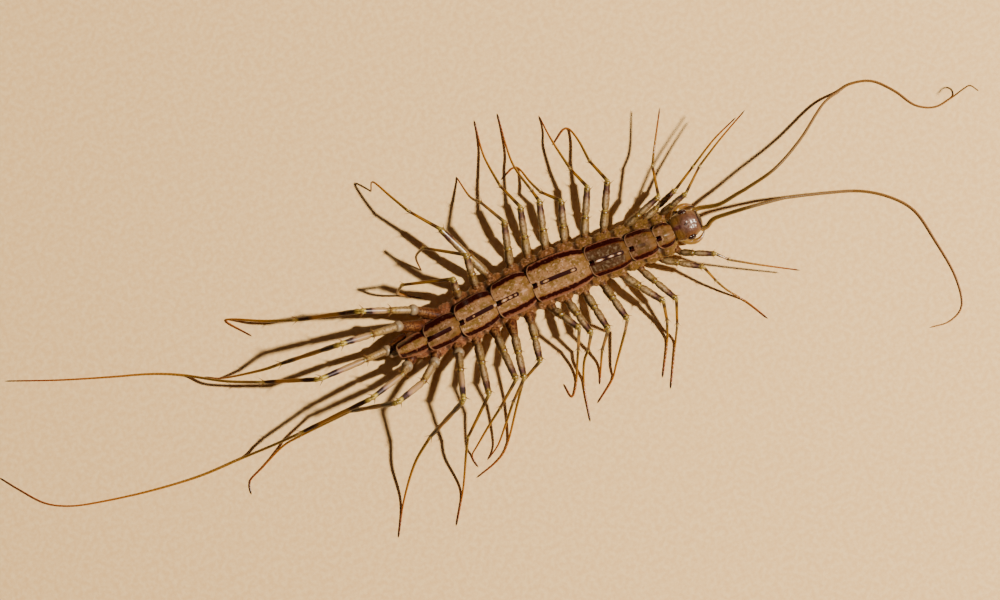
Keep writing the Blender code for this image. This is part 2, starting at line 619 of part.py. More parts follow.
def build_head():
    """The head capsule with a boss for each antenna and a seat for each eye."""
    bm = bmesh.new()
    rings = [oval_ring(bm, x, HEAD_LINE, half, top, bottom, HEAD_SIDES)
             for x, half, top, bottom in HEAD_RINGS]
    skin_rings(bm, rings)
    head = add_object("head", bm, "head")
    bosses, seats = [], []
    for side, sign in (("left", 1), ("right", -1)):
        root, inner = (Vector((x, HEAD_LINE + sign * y, z)) for x, y, z in (ANTENNA_ROOT, ANTENNA_BOSS))
        bm = bmesh.new()
        boss = [inner, between(root, inner, BOSS_GAP)]
        add_tube(bm, boss, [ANTENNA_R * BOSS_SPREAD, ANTENNA_R], BOSS_SIDES)
        bosses.append(add_object(f"boss_{side}", bm, "head"))
        centre = (EYE_CENTRE[0], HEAD_LINE + sign * EYE_CENTRE[1], EYE_CENTRE[2])
        bm = bmesh.new()
        ellipsoid(bm, centre, EYE_RADII, EYE_SEGMENTS, EYE_RINGS)
        add_object(f"eye_{side}", bm, "eye")
        bm = bmesh.new()
        ellipsoid(bm, centre, [radius + GAP for radius in EYE_RADII], EYE_SEGMENTS, EYE_RINGS)
        seats.append(add_object(f"seat_{side}", bm, "eye"))
    combine(head, bosses, "UNION")
    combine(head, seats, "DIFFERENCE")
    return head


def build_tail():
    """The small piece that closes the body between the last legs."""
    bm = bmesh.new()
    rings = [oval_ring(bm, x, TAIL_LINE, half, top, bottom, TAIL_SIDES)
             for x, half, top, bottom in reversed(TAIL_RINGS)]
    skin_rings(bm, rings)
    return add_object("tail", bm, "trunk")


def main():
    clear_scene()
    build_head()
    routes = {(side, pair): leg_route(side, pair)
              for side in ("left", "right") for pair in range(1, LEG_PAIRS + 1)}
    for side in ("left", "right"):
        build_antenna(side)
        build_mouthpart("forcipule", FORCIPULE, side, FORCIPULE_R, FORCIPULE_TIP_R)
        build_mouthpart("palp", PALP, side, PALP_R, PALP_TIP_R)
        for pair in range(1, LEG_PAIRS + 1):
            build_leg(side, pair, routes)
    for name, front, rear in TRUNK_LENGTHS:
        build_trunk(name, front, rear)
    for number, (rear, front) in enumerate(PLATES, start=1):
        build_plate(number, rear, front)
    build_tail()


main()
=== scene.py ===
# %% [markdown]
# # A house centipede over its frame
# The frame holds the animal's plain solids at life size, about 105 mm from feelers to last feet. This
# notebook leaves them where they are and lays the real surfaces over them: glossy striped plates, a soft
# trunk skin, a head with faceted eyes, and thirty banded legs that end in ringed whips.

# %% Load the frame
import math

import bmesh
import bpy
import numpy as np
from mathutils import Matrix, Vector

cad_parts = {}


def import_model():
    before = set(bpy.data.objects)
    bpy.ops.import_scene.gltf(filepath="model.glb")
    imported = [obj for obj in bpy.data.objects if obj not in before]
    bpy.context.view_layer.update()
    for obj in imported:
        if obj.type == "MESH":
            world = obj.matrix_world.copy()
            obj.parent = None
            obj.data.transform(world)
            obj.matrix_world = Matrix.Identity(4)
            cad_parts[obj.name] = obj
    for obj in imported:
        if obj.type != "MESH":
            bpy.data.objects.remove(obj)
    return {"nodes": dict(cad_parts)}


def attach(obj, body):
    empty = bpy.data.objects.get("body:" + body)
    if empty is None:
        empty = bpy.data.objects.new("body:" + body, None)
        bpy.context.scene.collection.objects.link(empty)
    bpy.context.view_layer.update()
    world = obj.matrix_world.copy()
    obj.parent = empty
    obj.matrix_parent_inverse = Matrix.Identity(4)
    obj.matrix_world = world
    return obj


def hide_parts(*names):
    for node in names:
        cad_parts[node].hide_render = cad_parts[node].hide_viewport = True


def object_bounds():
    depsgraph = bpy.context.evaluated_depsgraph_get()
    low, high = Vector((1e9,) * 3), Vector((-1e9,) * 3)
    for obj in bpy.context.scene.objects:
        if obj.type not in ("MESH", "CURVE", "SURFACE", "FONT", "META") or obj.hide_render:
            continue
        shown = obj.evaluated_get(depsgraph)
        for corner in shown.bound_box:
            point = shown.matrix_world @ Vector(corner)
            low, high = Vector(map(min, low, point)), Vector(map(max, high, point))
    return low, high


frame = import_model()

cad_low, cad_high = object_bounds()
cad_size = [round((b - a) * 1000, 1) for a, b in zip(cad_low, cad_high)]
print("frame:", len(frame["nodes"]), "nodes, box in mm", cad_size)

# %% [markdown]
# ## The animal's own axes
# The body points to +X with its left side to +Y. The pose was drawn on a sheet seen from above, x to the
# right and y down in millimetres, so one function turns sheet points into the body's axes. Working in body
# millimetres keeps every size readable, and one scale at the end brings a piece to metres.

# %% Sheet, body and floor
MM = 0.001
UP = Vector((0.0, 0.0, 1.0))
BODY_MIDDLE_ON_SHEET = (54.0, 28.5)
HEADING = math.radians(23.7)
BODY_MIDDLE = Vector((4.67, 1.23, 0.0))


def from_sheet(x, y, z):
    """A point of the plan sheet in the body's own axes."""
    right = x - BODY_MIDDLE_ON_SHEET[0]
    ahead = BODY_MIDDLE_ON_SHEET[1] - y
    along = right * math.cos(HEADING) + ahead * math.sin(HEADING)
    across = ahead * math.cos(HEADING) - right * math.sin(HEADING)
    return Vector((along, across, z))


def world(point):
    """Body millimetres as metres of the frame."""
    return (Vector(point) + BODY_MIDDLE) * MM


print("head end of the body lies at", [round(v, 4) for v in world((17.3, -0.35, 2.9))])

# %% [markdown]
# ## Camera
# The photo looks straight down, and the body runs up to the right in it. A long lens far away keeps raised
# knees over the spots where the sheet has them, which a short lens would push outwards.

# %% Camera over the sheet
SHEET_CENTRE = (50.0, 30.0)
SHEET_WIDTH = 100.0
LENS = 500.0
SENSOR = 36.0
SIGHT_REACH = 10.0


def add_object(name, data):
    """A new object of the scene, from its data."""
    thing = bpy.data.objects.new(name, data)
    bpy.context.scene.collection.objects.link(thing)
    return thing


camera_data = bpy.data.cameras.new("camera")
camera_data.sensor_width = SENSOR
camera_data.lens = LENS
camera_data.clip_end = SIGHT_REACH
camera = add_object("camera", camera_data)
camera.location = world(from_sheet(*SHEET_CENTRE, SHEET_WIDTH * LENS / SENSOR))
camera.rotation_euler = (0, 0, -HEADING)
bpy.context.scene.camera = camera
print("camera", round(camera.location.z, 2), "m over the floor")

# %% [markdown]
# ## Helpers for modelling by hand
# An operator acts on whatever is selected, so every step first lets go of everything and takes one piece.
# Faces and edges are picked by a test on their place, which is how a script points at them.

# %% Taking, picking and applying
def put_down():
    """Leave edit mode with nothing selected."""
    if bpy.context.object and bpy.context.object.mode != "OBJECT":
        bpy.ops.object.mode_set(mode="OBJECT")
    bpy.ops.object.select_all(action="DESELECT")


def take(piece):
    """Make one piece the only selected and active one."""
    put_down()
    piece.select_set(True)
    bpy.context.view_layer.objects.active = piece


def edit(piece):
    """Take one piece into edit mode."""
    take(piece)
    bpy.ops.object.mode_set(mode="EDIT")


def pick(piece, mode, test):
    """In edit mode, select the faces or edges that pass a test."""
    bpy.ops.mesh.select_mode(type=mode)
    bpy.ops.mesh.select_all(action="DESELECT")
    bm = bmesh.from_edit_mesh(piece.data)
    for item in [item for item in (bm.faces if mode == "FACE" else bm.edges) if test(item)]:
        item.select_set(True)
    bm.select_flush_mode()
    bmesh.update_edit_mesh(piece.data)


def finish_with(piece, kind, **settings):
    """Give a piece a modifier and apply it."""
    take(piece)
    modifier = piece.modifiers.new(kind.lower(), kind)
    for name, value in settings.items():
        setattr(modifier, name, value)
    bpy.ops.object.modifier_apply(modifier=modifier.name)


def hand_over(name, pieces, angle, slot, *nodes):
    """Join pieces into one that stands for nodes of the frame, smooth but for edges sharper than an angle."""
    take(pieces[0])
    for piece in pieces[1:]:
        piece.select_set(True)
    if len(pieces) > 1:
        bpy.ops.object.join()
    whole = bpy.context.object
    whole.name = name
    whole.data.name = name
    bpy.ops.object.shade_smooth_by_angle(angle=math.radians(angle))
    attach(whole, "root")
    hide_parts(*nodes)
    return whole


# %% [markdown]
# Round parts are turned: a disc is drawn out ring by ring, as on a lathe. The rings come from a few
# stations along X, each with a radius, so a shape can be read from its list.

# %% Turning a round part
def turned(name, stations, sides):
    """A closed round shape along +X from (x, radius) stations in mm."""
    put_down()
    x, radius = stations[0]
    bpy.ops.mesh.primitive_circle_add(vertices=sides, radius=radius * MM, fill_type="NGON",
                                      location=(x * MM, 0, 0), rotation=(0, math.pi / 2, 0))
    piece = bpy.context.object
    piece.name = name
    bpy.ops.object.transform_apply(location=True, rotation=True, scale=True)
    bpy.ops.object.mode_set(mode="EDIT")
    bpy.ops.mesh.select_all(action="SELECT")
    for next_x, next_radius in stations[1:]:
        bpy.ops.mesh.extrude_region_move(TRANSFORM_OT_translate={"value": ((next_x - x) * MM, 0, 0)})
        grow = next_radius / radius
        bpy.ops.transform.resize(value=(1, grow, grow), center_override=(next_x * MM, 0, 0))
        x, radius = next_x, next_radius
    bpy.ops.mesh.select_all(action="SELECT")
    bpy.ops.mesh.normals_make_consistent(inside=False)
    bpy.ops.object.mode_set(mode="OBJECT")
    return piece


def points_of(mesh):
    """A mesh's points as an array of mm."""
    flat = np.empty(len(mesh.vertices) * 3, dtype=np.float32)
    mesh.vertices.foreach_get("co", flat)
    return (flat.reshape(-1, 3) / MM).astype(float)


def set_points(mesh, points):
    """Move a mesh's points to an array of mm."""
    mesh.vertices.foreach_set("co", (points * MM).astype(np.float32).ravel())
    mesh.update()


def place_points(mesh, points):
    """Move a mesh's points to places in the body's own mm."""
    set_points(mesh, np.array(points) + np.array(BODY_MIDDLE))


def write_attribute(mesh, name, values):
    """Store one number or one vector for each point, for the materials to read."""
    values = np.array(values, dtype=np.float32)
    kind, key = ("FLOAT_VECTOR", "vector") if values.ndim == 2 else ("FLOAT", "value")
    attribute = mesh.attributes.get(name) or mesh.attributes.new(name, kind, "POINT")
    attribute.data.foreach_set(key, values.ravel())


print("helpers ready")

# %% [markdown]
# ## Materials
# Almost all that shows is chitin, a hardened organic skin with a refractive index near 1.55. It is glossy
# where it is thick and dark, and lets some light in where it is thin and pale. One function adds a node
# with its settings and links. The others build a whole pattern or surface with it, such as the coats of
# colour that lie over one another.

# %% Colours, nodes and the cuticle
CHITIN_IOR = 1.55
CHITIN_SCATTER = (1.0, 0.55, 0.25)
CHITIN_DEPTH = 0.35
COAT_ROUGHNESS = 0.15


def colour(code):
    """A linear colour from an sRGB hex code."""
    channels = [int(code[i:i + 2], 16) / 255 for i in (1, 3, 5)]
    return (*[c / 12.92 if c <= 0.04045 else ((c + 0.055) / 1.055) ** 2.4 for c in channels], 1.0)


def feed(tree, node, inputs):
    """Set a node's inputs: to values, or to the nodes and sockets that feed them."""
    for key, value in inputs.items():
        if isinstance(value, bpy.types.Node):
            value = next(output for output in value.outputs if output.enabled)
        if isinstance(value, bpy.types.NodeSocket):
            tree.links.new(value, node.inputs[key])
        else:
            node.inputs[key].default_value = value


def add_node(tree, kind, inputs=None, stops=None, **settings):
    """Add a node with its settings, its inputs and, for a ramp, its stops."""
    node = tree.nodes.new("ShaderNode" + kind)
    for name, value in settings.items():
        setattr(node, name, value)
    feed(tree, node, inputs or {})
    if stops:
        while len(node.color_ramp.elements) < len(stops):
            node.color_ramp.elements.new(1.0)
        for element, (place, code) in zip(node.color_ramp.elements, stops):
            element.position = place
            element.color = colour(code)
    return node


def start_material(name):
    """A new material, its nodes and the place on the piece, in metres, that its patterns read."""
    material = bpy.data.materials.new(name)
    material.use_nodes = True
    tree = material.node_tree
    return material, tree, add_node(tree, "TexCoord").outputs["Object"]


def coats(tree, base, *layers):
    """Lay colours over a base. Each is (value, clear, full, strength, code), fading in from clear to full."""
    tint = base
    for value, clear, full, strength, code in layers:
        inputs = {"Value": value, "From Min": clear, "From Max": full, "To Max": strength}
        share = add_node(tree, "MapRange", inputs, interpolation_type="SMOOTHSTEP")
        tint = add_node(tree, "Mix", {0: share, 6: tint, 7: colour(code)}, data_type="RGBA")
    return tint


def cuticle(tree, tint, height, depth, roughness, thin, coat=0.0, shine=0.5):
    """The chitin surface. depth is the relief in mm and thin how much light enters. shine is how much the
    skin mirrors, and coat the waxy gloss over it."""
    bump = add_node(tree, "Bump", {"Height": height, "Distance": depth * MM})
    feed(tree, tree.nodes["Principled BSDF"], {
        "Base Color": tint, "Normal": bump, "Roughness": roughness, "Metallic": 0.0,
        "IOR": CHITIN_IOR, "Specular IOR Level": shine,
        "Subsurface Weight": thin, "Subsurface Radius": CHITIN_SCATTER, "Subsurface Scale": CHITIN_DEPTH * MM,
        "Coat Weight": coat, "Coat Roughness": COAT_ROUGHNESS, "Coat IOR": CHITIN_IOR})


print("material helpers ready")

# %% [markdown]
# ## Back plates: glossy tan chitin
# The real plates are smooth and waxy. They are tan with olive and pink blotches some half a millimetre
# wide. A dark maroon stripe runs along each side, and a broken one along the middle, with pale windows in
# it that are painted highlights. The rim at the rear is pale and pinkish, its own colour with a painted
# highlight where it catches the light, and the front of each plate, where it slips under the plate ahead,
# carries painted shade. Some plates are smoky: partly their own tone, partly painted shade for the dark
# reflection of a tilted glossy plate. The marks follow the plate, so it carries them as attributes:
# distances in mm from its rear, front and side edges, and how deep a point lies in a stripe.

# %% Plate material
plate_chitin, tree, place = start_material("plate_waxed_chitin")
rims, marks = [add_node(tree, "Attribute", attribute_name=name) for name in ("rims", "marks")]
from_rear, from_front, from_side = add_node(tree, "SeparateXYZ", {0: rims.outputs["Vector"]}).outputs
in_stripe, in_middle, smoke_and_shade = add_node(tree, "SeparateXYZ", {0: marks.outputs["Vector"]}).outputs
patches, flecks, freckles, grain = [
    add_node(tree, "TexNoise", {"Vector": place, "Scale": 1 / (size * MM), "Detail": detail})
    for size, detail in ((0.8, 3.0), (0.30, 3.0), (0.16, 2.0), (0.07, 2.0))]
ragged_stripe, ragged_middle, ragged_side, ragged_highlight = [
    add_node(tree, "Math", {0: flecks, 1: share, 2: mark}, operation="MULTIPLY_ADD")
    for share, mark in ((0.40, in_stripe), (0.60, in_middle), (0.20, from_side), (1.20, in_middle))]
smoky_reflection_flecks = add_node(tree, "Math", {0: flecks, 1: smoke_and_shade}, operation="MULTIPLY")

tint = coats(tree, colour("#8E6A48"),
             (patches, 0.40, 0.60, 1.0, "#6C5226"),
             (flecks, 0.52, 0.70, 1.0, "#B08A70"),
             (freckles, 0.55, 0.70, 0.85, "#542C12"),
             # Smoky plates: own darker tone with painted shade and painted grey reflections
             (smoke_and_shade, 0.0, 1.0, 0.85, "#2C1408"),
             (smoky_reflection_flecks, 0.48, 0.68, 0.5, "#766A56"),
             # Painted shade at the front, where the plate slips under the one ahead
             (from_front, 0.45, 0.10, 0.5, "#745022"),
             (ragged_side, 0.42, 0.30, 0.9, "#744A38"),
             (ragged_stripe, 0.02, 0.22, 0.7, "#5A2410"),
             (ragged_stripe, 0.16, 0.24, 1.0, "#240403"),
             (from_side, 0.10, 0.05, 0.5, "#8A6048"),
             # Pale rear rim: its own pinkish colour plus a painted highlight where it catches light
             (from_rear, 0.16, 0.06, 0.6, "#A07A60"),
             (ragged_middle, 0.54, 0.90, 1.0, "#240403"),
             # Pale windows in the middle stripe: painted highlights, near white at the core
             (ragged_highlight, 0.45, -0.10, 1.0, "#B08A72"),
             (ragged_highlight, -0.40, -1.50, 0.9, "#EADCCC"))
cuticle(tree, tint, grain, 0.006, roughness=0.27, thin=0.05, shine=0.32)
print("plates:", plate_chitin.name)

# %% [markdown]
# ## Trunk skin: soft, folded and brown
# Beside the plates the skin is unhardened, so it is duller, and it folds between the segments. It is brown,
# redder to the rear and olive at the front. Painted shade darkens the creases between the segments and the
# skin just under the plate edges, and how much is stored on the mesh when it is shaped.

# %% Trunk material
trunk_skin, tree, place = start_material("trunk_soft_skin")
fold_shade = add_node(tree, "Attribute", attribute_name="fold_shade").outputs["Fac"]
patches, flecks, wrinkles = [
    add_node(tree, "TexNoise", {"Vector": place, "Scale": 1 / (size * MM), "Detail": detail})
    for size, detail in ((0.7, 3.0), (0.25, 3.0), (0.16, 4.0))]
along = add_node(tree, "SeparateXYZ", {0: place}).outputs["X"]
tint = coats(tree, colour("#744A28"),
             (patches, 0.40, 0.65, 1.0, "#60401E"),
             (along, 0.0 * MM, -6.0 * MM, 0.8, "#84523A"),
             (along, 6.0 * MM, 14.0 * MM, 0.9, "#6C5020"),
             (flecks, 0.52, 0.68, 0.9, "#A0785E"),
             (wrinkles, 0.50, 0.66, 0.7, "#2A0C06"),
             # Painted shade in the creases between segments and under the plate edges
             (fold_shade, 0.2, 1.2, 0.9, "#240804"))
cuticle(tree, tint, wrinkles, 0.03, roughness=0.40, thin=0.15, shine=0.25)
print("trunk:", trunk_skin.name)

# %% [markdown]
# ## Head: a polished dome
# The head capsule is the glossiest part. It is brown, with two olive spots and a maroon line between them
# at the nape, a pinkish brow with two dark dots and pale flecks of painted highlight, and a dark front
# edge. Its marks are few, so they are placed straight on the head in body millimetres.

# %% Head material
head_chitin, tree, place = start_material("head_polished_chitin")
in_mm = add_node(tree, "VectorMath", {0: place, 3: 1 / MM}, operation="SCALE")
here = add_node(tree, "VectorMath", {0: in_mm, 1: tuple(BODY_MIDDLE)}, operation="SUBTRACT")
along = add_node(tree, "SeparateXYZ", {0: here}).outputs["X"]
patches, flecks, dents = [
    add_node(tree, "TexNoise", {"Vector": place, "Scale": 1 / (size * MM), "Detail": detail})
    for size, detail in ((0.6, 3.0), (0.3, 3.0), (0.45, 2.0))]


def oval_mark(centre, size, ragged=0.5):
    """How far a point lies from an oval mark on the back, 1 at its ragged edge. Centre and size are in mm."""
    moved = add_node(tree, "VectorMath", {0: here, 1: (*centre, 0.0)}, operation="SUBTRACT")
    shrink = (1 / size[0], 1 / size[1], 0.0)
    shaped = add_node(tree, "VectorMath", {0: moved, 1: shrink}, operation="MULTIPLY")
    reach = add_node(tree, "VectorMath", {0: shaped}, operation="LENGTH")
    return add_node(tree, "Math", {0: flecks, 1: ragged, 2: reach.outputs["Value"]}, operation="MULTIPLY_ADD")


tint = coats(tree, colour("#603C1E"),
             (patches, 0.42, 0.60, 1.0, "#583C2A"),
             *[(oval_mark((14.75, y), (0.60, 0.55)), 1.7, 0.7, 0.8, "#62441A") for y in (0.50, -1.05)],
             (oval_mark((14.85, -0.30), (0.55, 0.20)), 1.6, 0.9, 1.0, "#46201C"),
             (oval_mark((16.15, -0.35), (0.95, 0.85)), 1.7, 0.8, 0.9, "#5E423A"),
             # Pale pinkish flecks over the brow: painted highlights, glints on the polished dome
             (oval_mark((16.10, -0.35), (0.95, 0.90), -3.0), -0.9, -1.4, 0.8, "#907870"),
             (oval_mark((15.75, -0.30), (0.16, 0.12)), 1.7, 1.0, 0.9, "#240E0C"),
             (oval_mark((16.45, -0.38), (0.12, 0.10)), 1.7, 1.0, 0.8, "#3A2220"),
             (flecks, 0.56, 0.70, 0.6, "#3A1C10"),
             (along, 16.92, 17.10, 1.0, "#1E0806"))
cuticle(tree, tint, dents, 0.13, roughness=0.26, thin=0.06, coat=0.1)
print("head:", head_chitin.name)

# %% [markdown]
# ## Eyes, mouthparts and feelers
# The eyes are near black with a maroon sheen. Forcipules and palps are orange-tan chitin that darkens to
# the claw. Feelers are matte with fine hair, dark olive at the stalk and golden further out, with painted
# shade in the groove at each ring.

# %% Eye, mouthpart and feeler materials
eye_lens, tree, place = start_material("eye_dark_lens")
sheen = add_node(tree, "TexNoise", {"Vector": place, "Scale": 1 / (0.3 * MM), "Detail": 3.0})
tint = coats(tree, colour("#120304"), (sheen, 0.3, 0.7, 1.0, "#30090C"))
cuticle(tree, tint, sheen, 0.0, roughness=0.16, thin=0.0, coat=1.0)

claw_chitin, tree, place = start_material("mouthpart_amber_chitin")
share = add_node(tree, "Attribute", attribute_name="share").outputs["Fac"]
amber = add_node(tree, "ValToRGB", {"Fac": share},
                 stops=((0.0, "#5E4018"), (0.35, "#8A6A2A"), (0.75, "#7E5420"), (1.0, "#1C0804")))
flecks, grain = [add_node(tree, "TexNoise", {"Vector": place, "Scale": 1 / (size * MM), "Detail": 3.0})
                 for size in (0.3, 0.1)]
tint = coats(tree, amber.outputs["Color"], (flecks, 0.5, 0.75, 1.0, "#7A4A22"))
cuticle(tree, tint, grain, 0.01, roughness=0.28, thin=0.18, coat=0.5)

feeler_chitin, tree, place = start_material("feeler_ringed_chitin")
share = add_node(tree, "Attribute", attribute_name="share").outputs["Fac"]
golden = add_node(tree, "ValToRGB", {"Fac": share},
                  stops=((0.0, "#7A5716"), (0.10, "#5A400E"), (0.45, "#7A5418"), (1.0, "#946028")))
ring = add_node(tree, "Attribute", attribute_name="ring").outputs["Fac"]
from_groove = add_node(tree, "Math", {0: ring, 1: 0.5}, operation="PINGPONG")
grain = add_node(tree, "TexNoise", {"Vector": place, "Scale": 1 / (0.1 * MM), "Detail": 3.0})
# Painted shade in the groove between the rings
tint = coats(tree, golden.outputs["Color"], (from_groove, 0.22, 0.0, 0.55, "#33200A"))
cuticle(tree, tint, grain, 0.01, roughness=0.45, thin=0.12)
print("eye, mouthpart and feeler materials ready")

# %% [markdown]
# ## Legs: pale chitin with dark bands
# A leg is thin-walled and lets light through. Its long upper parts are mottled cream and olive, with
# purple-black bands on both sides of the yellow knee. Beyond it they turn orange brown, and red brown at
# the tip. Each part has its own row of colours along its length, and the larger parts have it in two
# copies: a lighter one on the crown and a darker one on the flanks, which paints in the shading of a round
# leg. The bands are darkest on the flanks and thin out to purple over the crown, and painted dark lines run
# down both sides, the shade of the wall seen edge on.

# %% Leg materials
def leg_chitin(name, shaded_flank, lit_crown=None, edge_on_shade=0.5, spots="#7A5030", spot_strength=0.35, spots_from=0.55,
               roughness=0.28, coat=0.12, shine=0.5):
    """Chitin for one part of a leg, from rows of (share of its length, colour) on its flank and its crown.
    The darker flank row and lighter crown row paint in the shading of a round leg.
    """
    material, tree, place = start_material(name)
    share = add_node(tree, "Attribute", attribute_name="share").outputs["Fac"]
    lie = add_node(tree, "Attribute", attribute_name="lie").outputs["Vector"]
    across = add_node(tree, "SeparateXYZ", {0: lie}).outputs["Y"]
    side = add_node(tree, "Math", {0: across}, operation="ABSOLUTE")
    blotches, flecks, grain = [
        add_node(tree, "TexNoise", {"Vector": place, "Scale": 1 / (size * MM), "Detail": detail})
        for size, detail in ((0.35, 3.0), (0.20, 3.0), (0.09, 2.0))]
    ragged = add_node(tree, "MapRange", {"Value": blotches, "To Min": -0.04, "To Max": 0.04})
    along = add_node(tree, "Math", {0: share, 1: ragged}, operation="ADD")
    beside = add_node(tree, "ValToRGB", {"Fac": along}, stops=shaded_flank)
    above = add_node(tree, "ValToRGB", {"Fac": along}, stops=lit_crown or shaded_flank)
    # Painted shading: the darker flank row takes over where the leg turns sideways
    flank_shade_share = add_node(tree, "MapRange", {"Value": side, "From Min": 0.15, "From Max": 0.5},
                          interpolation_type="SMOOTHSTEP")
    both = add_node(tree, "Mix", {0: flank_shade_share, 6: above.outputs["Color"], 7: beside.outputs["Color"]},
                    data_type="RGBA")
    tint = coats(tree, both,
                 # Painted shade: dark lines down both sides, where the wall is seen edge on
                 (side, 0.66, 0.93, edge_on_shade, "#2A1406"),
                 (flecks, spots_from, spots_from + 0.17, spot_strength, spots))
    cuticle(tree, tint, grain, 0.008, roughness, thin=0.22, coat=coat, shine=shine)
    return material


coxa_chitin = leg_chitin(
    "coxa_brown_chitin",
    ((0.0, "#2A1006"), (0.20, "#4A2410"), (0.50, "#583218"), (0.80, "#5C3A1E"), (1.0, "#563A1E")),
    ((0.0, "#3A1808"), (0.22, "#5C3212"), (0.34, "#38160A"), (0.46, "#6A3E1E"), (0.70, "#7C5632"),
     (0.88, "#72502C"), (1.0, "#7E6440")),
    spots="#300E06", spot_strength=0.85, spots_from=0.42, roughness=0.45, coat=0.0, shine=0.12)
hip_skin = leg_chitin(
    "hip_brown_skin", ((0.0, "#4A3018"), (0.5, "#6E4E2C"), (1.0, "#7A5A34")),
    edge_on_shade=0.6, spots="#3A2010", spot_strength=0.6, roughness=0.4, coat=0.0, shine=0.25)
knob_chitin = leg_chitin(
    "hip_pale_chitin", ((0.0, "#5A4030"), (0.35, "#806E56"), (0.75, "#8A7A62"), (1.0, "#6A5640")),
    edge_on_shade=0.55, spots_from=0.48, roughness=0.42, coat=0.0, shine=0.35)
prefemur_chitin = leg_chitin(
    "prefemur_cream_chitin",
    ((0.0, "#2A1212"), (0.05, "#5A3A20"), (0.12, "#76603C"), (0.50, "#846C48"), (0.86, "#80662C"),
     (0.93, "#4A2E18"), (1.0, "#6A4A24")),
    ((0.0, "#4A3020"), (0.07, "#7C6240"), (0.14, "#A08860"), (0.50, "#AE9674"), (0.87, "#A08444"),
     (0.95, "#7E6030"), (1.0, "#7E6030")),
    edge_on_shade=0.7, spots="#54381C", spot_strength=0.8, spots_from=0.47)
femur_chitin = leg_chitin(
    "femur_cream_chitin",
    ((0.0, "#5A3C20"), (0.08, "#7C643C"), (0.42, "#846C48"), (0.56, "#6E4E36"), (0.66, "#2E161A"),
     (0.84, "#2C1614"), (0.91, "#7A6428"), (1.0, "#8A7230")),
    ((0.0, "#7E6030"), (0.08, "#A08860"), (0.45, "#B09878"), (0.60, "#92785E"), (0.70, "#6E5250"),
     (0.80, "#5A3E40"), (0.90, "#948040"), (1.0, "#94803C")),
    edge_on_shade=0.65, spots="#54381C", spot_strength=0.8, spots_from=0.47)
banded_femur_chitin = leg_chitin(
    "rear_femur_banded_chitin",
    ((0.0, "#2A1410"), (0.05, "#7A5A38"), (0.12, "#987A50"), (0.45, "#A4845C"), (0.56, "#7A5C54"),
     (0.62, "#1E0C18"), (0.82, "#1A0A14"), (0.87, "#A08A34"), (1.0, "#A4903A")),
    ((0.0, "#4A3020"), (0.06, "#967A50"), (0.14, "#A08060"), (0.46, "#A48464"), (0.58, "#8A7070"),
     (0.65, "#3A2634"), (0.80, "#2E1C2C"), (0.88, "#B8A448"), (1.0, "#B8A448")),
    edge_on_shade=0.7, spots="#7A6038", roughness=0.38, coat=0.0)
tibia_chitin = leg_chitin(
    "tibia_olive_chitin",
    ((0.0, "#8A7230"), (0.05, "#6A5420"), (0.11, "#2E1A08"), (0.22, "#38220A"), (0.34, "#6E4C12"),
     (0.72, "#7A500E"), (0.82, "#402408"), (0.92, "#442A0C"), (0.97, "#86702A"), (1.0, "#86702A")),
    ((0.0, "#94803C"), (0.06, "#86702E"), (0.12, "#4A2E12"), (0.22, "#523414"), (0.34, "#926C22"),
     (0.70, "#986618"), (0.82, "#5A340E"), (0.92, "#4A2C0C"), (0.97, "#9A8236"), (1.0, "#9A8236")),
    edge_on_shade=0.45)
banded_tibia_chitin = leg_chitin(
    "rear_tibia_banded_chitin",
    ((0.0, "#94803A"), (0.05, "#86702E"), (0.09, "#1C0A06"), (0.27, "#200C08"), (0.34, "#6A4614"),
     (0.70, "#74480E"), (0.78, "#1C0A06"), (0.93, "#200C06"), (0.97, "#94782A"), (1.0, "#94782A")))
tarsus_chitin = leg_chitin(
    "tarsus_golden_chitin",
    ((0.0, "#86702A"), (0.03, "#5A3C10"), (0.10, "#70521A"), (0.45, "#966418"), (0.72, "#965614"),
     (0.90, "#78320E"), (1.0, "#3A1006")),
    edge_on_shade=0.3)
joint_skin = leg_chitin("joint_olive_skin", ((0.0, "#7E6A30"), (0.5, "#9A863E"), (1.0, "#7A642C")))
spur_chitin = leg_chitin(
    "spur_amber_chitin", ((0.0, "#7A6030"), (0.5, "#6E4A1C"), (1.0, "#2E140A")), edge_on_shade=0.0)
print("leg materials ready")

# %% [markdown]
# ## Floor and light
# The floor is plain pale plaster with a faint sandy grain. A small warm light stands to the right, where
# the photo's sun is, so that raised legs draw their shadows on the floor. A dim one hangs overhead for the
# reflections on the plates, and a faint pinkish sky keeps the shadows brown.

# %% Studio
FLOOR_SIZE = 3.0

put_down()
bpy.ops.mesh.primitive_plane_add(size=FLOOR_SIZE, location=(0, 0, 0))
floor = bpy.context.object
floor.name = "floor"
pale_floor, tree, place = start_material("floor_pale_plaster")
sand, pits = [add_node(tree, "TexNoise", {"Vector": place, "Scale": 1 / (size * MM), "Detail": 4.0})
              for size in (0.5, 0.35)]
tint = coats(tree, colour("#F0C88A"), (sand, 0.30, 0.75, 1.0, "#FEDCA0"))
bump = add_node(tree, "Bump", {"Height": pits, "Distance": 0.02 * MM})
feed(tree, tree.nodes["Principled BSDF"], {"Base Color": tint, "Normal": bump, "Roughness": 0.85})
floor.data.materials.append(pale_floor)


def soft_light(name, direction, distance, size, power):
    """A square light in metres and watts. Its direction is in sheet terms: right, towards the top, up."""
    right, ahead, up = direction
    way = Vector((right * math.cos(HEADING) + ahead * math.sin(HEADING),
                  ahead * math.cos(HEADING) - right * math.sin(HEADING), up)).normalized()
    data = bpy.data.lights.new(name, "AREA")
    data.shape = "SQUARE"
    data.size = size
    data.energy = power
    lamp = add_object(name, data)
    lamp.location = way * distance
    lamp.rotation_euler = (-way).to_track_quat("-Z", "Y").to_euler()
    return lamp


